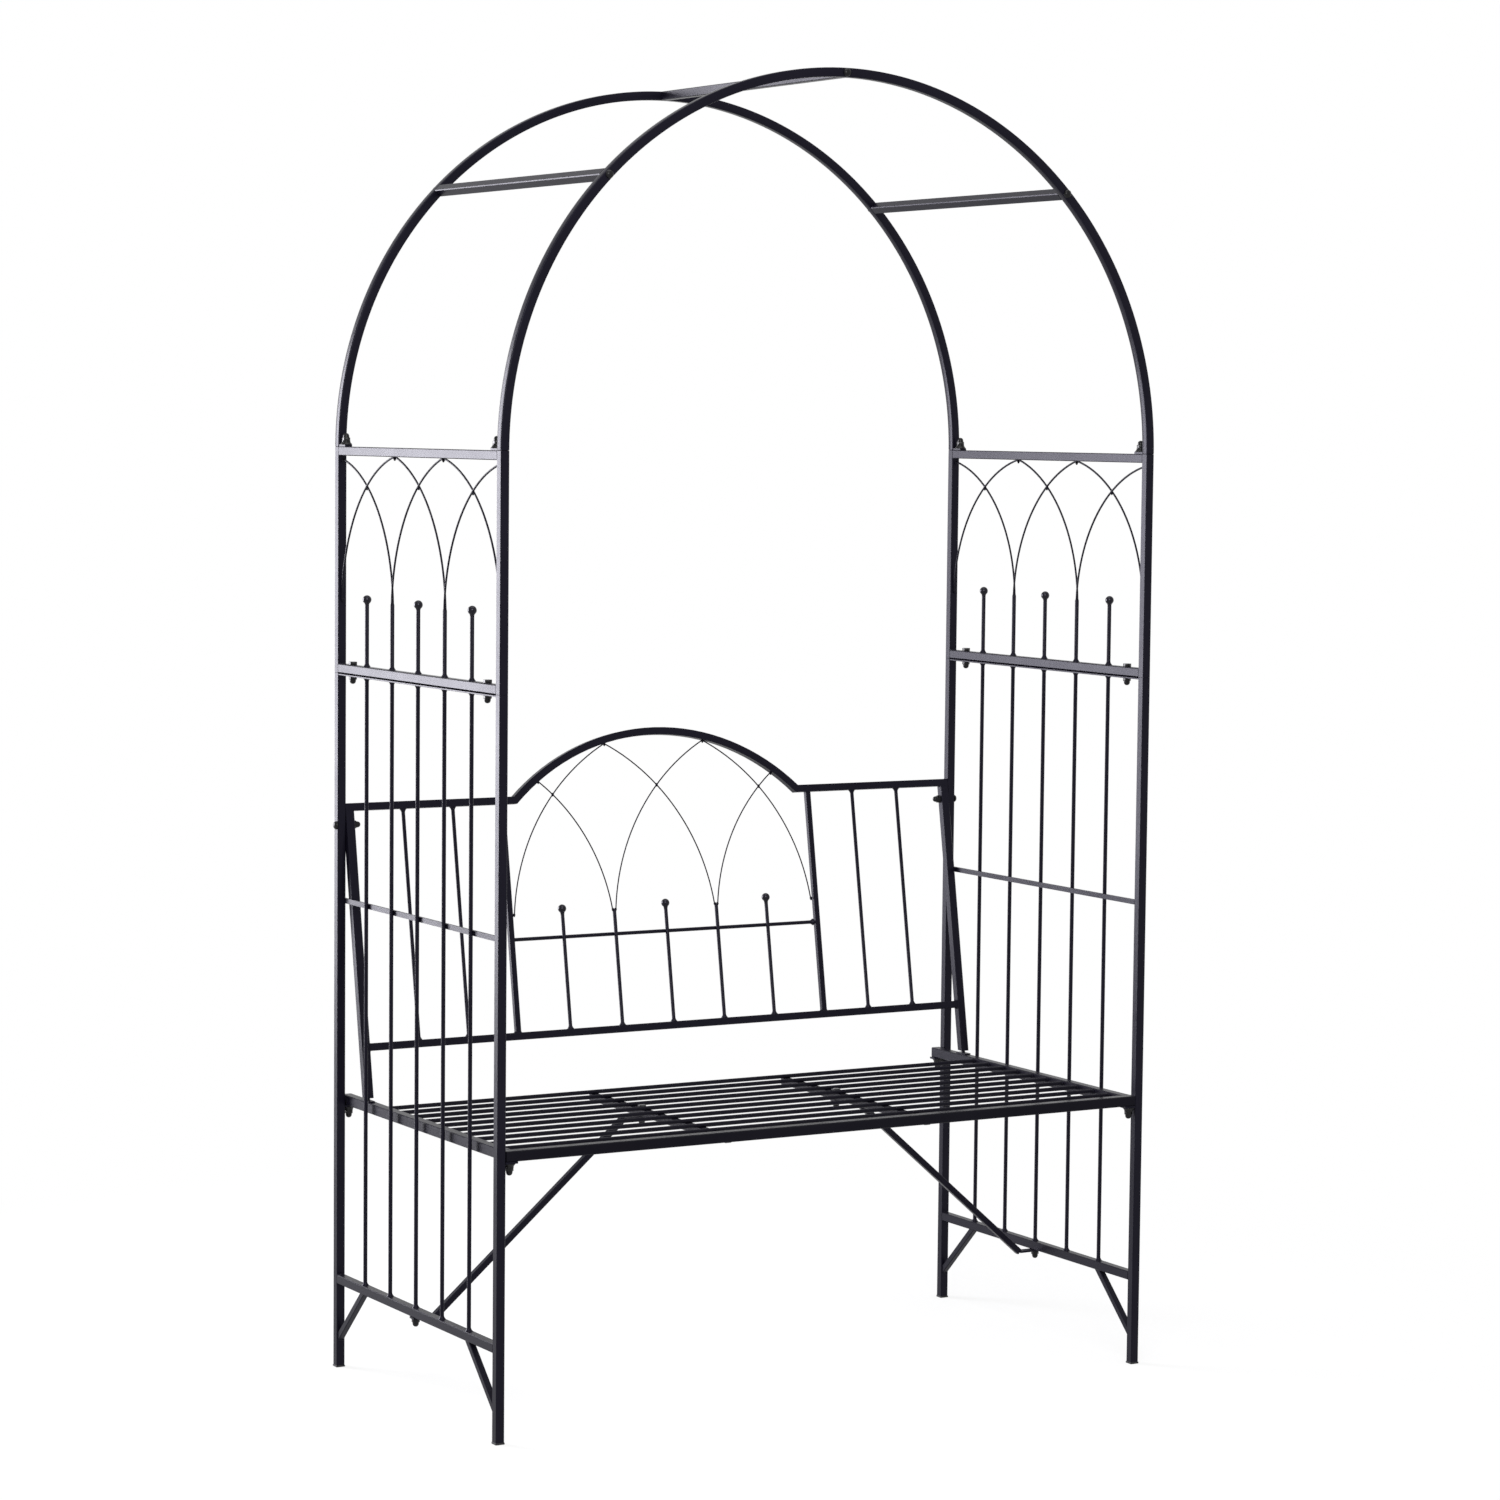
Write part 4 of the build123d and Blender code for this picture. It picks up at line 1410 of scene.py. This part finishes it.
@dataclass
class Studio:
    """Floor, light and camera."""

    spot: Vector = field(default_factory=lambda: Vector((-3.24406, -5.64179, 1.50405)))
    yaw: float = 29.984
    pitch: float = 4.559
    roll: float = 0.573
    lens: float = 99.252
    sensor: float = 36.0
    floor_size: float = 60.0
    floor_tone: float = 0.86
    near_glow: float = 0.78
    fade_from: float = 0.7
    fade_to: float = 1.9
    ambient: float = 0.6

    @staticmethod
    def seen(tree: NodeTree) -> NodeSocket:
        """Tell what the eye, gloss or glass sees from what only lights.

        Args:
            tree: where the nodes go.

        Returns:
            A value that is 1 for what is seen, else 0.
        """
        path = tree.nodes.new("ShaderNodeLightPath")
        total = path.outputs["Is Camera Ray"]
        for name in ("Is Glossy Ray", "Is Transmission Ray"):
            more = tree.nodes.new("ShaderNodeMath")
            more.operation = "MAXIMUM"
            tree.links.new(total, more.inputs[0])
            tree.links.new(path.outputs[name], more.inputs[1])
            total = more.outputs[0]
        return total

    def glow(self, tree: NodeTree) -> NodeSocket:
        """Work out how much of the floor is plain white.

        Args:
            tree: the floor's nodes.

        Returns:
            The share, which is full away from the arch and lets a shadow show near it.
        """
        place = tree.nodes.new("ShaderNodeTexCoord")
        far = tree.nodes.new("ShaderNodeVectorMath")
        far.operation = "LENGTH"
        fade = tree.nodes.new("ShaderNodeMapRange")
        fade.interpolation_type = "SMOOTHSTEP"
        fade.inputs["From Min"].default_value = self.fade_from
        fade.inputs["From Max"].default_value = self.fade_to
        fade.inputs["To Min"].default_value = self.near_glow
        fade.inputs["To Max"].default_value = 1.0
        share = tree.nodes.new("ShaderNodeMath")
        share.operation = "MULTIPLY"
        tree.links.new(place.outputs["Object"], far.inputs[0])
        tree.links.new(far.outputs["Value"], fade.inputs["Value"])
        tree.links.new(self.seen(tree), share.inputs[0])
        tree.links.new(fade.outputs["Result"], share.inputs[1])
        return share.outputs[0]

    def floor(self) -> None:
        """Lay a pale floor.

        It is white to the eye and keeps a soft shadow near the arch.
        """
        Bench.clear()
        bpy.ops.mesh.primitive_plane_add(size=self.floor_size)
        floor = bpy.context.object
        floor.name = "studio_floor"
        made = bpy.data.materials.new("studio_white")
        made.use_nodes = True
        tree = made.node_tree
        tree.nodes.clear()
        out = tree.nodes.new("ShaderNodeOutputMaterial")
        matt = tree.nodes.new("ShaderNodeBsdfDiffuse")
        matt.inputs["Color"].default_value = (self.floor_tone, self.floor_tone, self.floor_tone, 1)
        white = tree.nodes.new("ShaderNodeEmission")
        white.inputs["Strength"].default_value = 1.0
        mix = tree.nodes.new("ShaderNodeMixShader")
        tree.links.new(self.glow(tree), mix.inputs[0])
        tree.links.new(matt.outputs[0], mix.inputs[1])
        tree.links.new(white.outputs[0], mix.inputs[2])
        tree.links.new(mix.outputs[0], out.inputs["Surface"])
        floor.data.materials.append(made)

    def light(self) -> None:
        """Set the white surround and hang the lamps.

        The surround is white to the eye and dimmer as a light.
        """
        world = bpy.data.worlds.new("studio")
        bpy.context.scene.world = world
        world.use_nodes = True
        tree = world.node_tree
        back = tree.nodes["Background"]
        back.inputs["Color"].default_value = (1, 1, 1, 1)
        level = tree.nodes.new("ShaderNodeMapRange")
        level.inputs["To Min"].default_value = self.ambient
        level.inputs["To Max"].default_value = 1.0
        tree.links.new(self.seen(tree), level.inputs["Value"])
        tree.links.new(level.outputs["Result"], back.inputs["Strength"])
        for lamp in LAMPS:
            lamp.build()

    def camera(self) -> None:
        """Set the camera where the photograph was taken from.

        Yaw turns it to the right, pitch down, and roll to the left.
        """
        yaw, pitch, roll = (math.radians(a) for a in (self.yaw, self.pitch, self.roll))
        right = Vector((math.cos(yaw), -math.sin(yaw), 0))
        level = Vector((math.sin(yaw), math.cos(yaw), 0))
        ahead = level * math.cos(pitch) + DOWN * math.sin(pitch)
        over = right.cross(ahead)
        across = right * math.cos(roll) + over * math.sin(roll)
        above = over * math.cos(roll) - right * math.sin(roll)
        turn = Matrix((across, above, -ahead)).transposed()
        data = bpy.data.cameras.new("view")
        data.lens = self.lens
        data.sensor_width = self.sensor
        camera = bpy.data.objects.new("view", data)
        camera.matrix_world = Matrix.Translation(self.spot) @ turn.to_4x4()
        bpy.context.scene.collection.objects.link(camera)
        bpy.context.scene.camera = camera

    def build(self) -> None:
        """Set the whole studio.

        Colours are shown as they are, with no film curve.
        """
        self.floor()
        self.light()
        self.camera()
        bpy.context.scene.view_settings.view_transform = "Standard"


def main() -> None:
    """Build the studio and the sub-assemblies, and dress the frame nodes that show.
    """
    logging.basicConfig(level=logging.INFO, format="%(message)s")
    finisher = Finisher()
    Studio().build()
    panels = [SidePanel(side) for side in Side]
    back = Backrest()
    for panel in panels:
        panel.build(finisher)
    back.build(finisher)
    Seat().build(finisher)
    for side in Side:
        Strip(side).build(finisher)
        for end in End:
            Hoop(side, end).build(finisher)
    WeldSeams().build(finisher, back.pane())
    Finials().build(finisher, [spot for part in (*panels, back) for spot in part.balls()])
    Fasteners().build(finisher)
    Feet().build(finisher)
    for name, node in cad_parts.items():
        if not node.hide_render:
            finisher.dress(node, NODE_FINISHES.get(name, COAT))
            LOG.info("%s: frame node dressed", name)


if __name__ == "__main__":
    main()
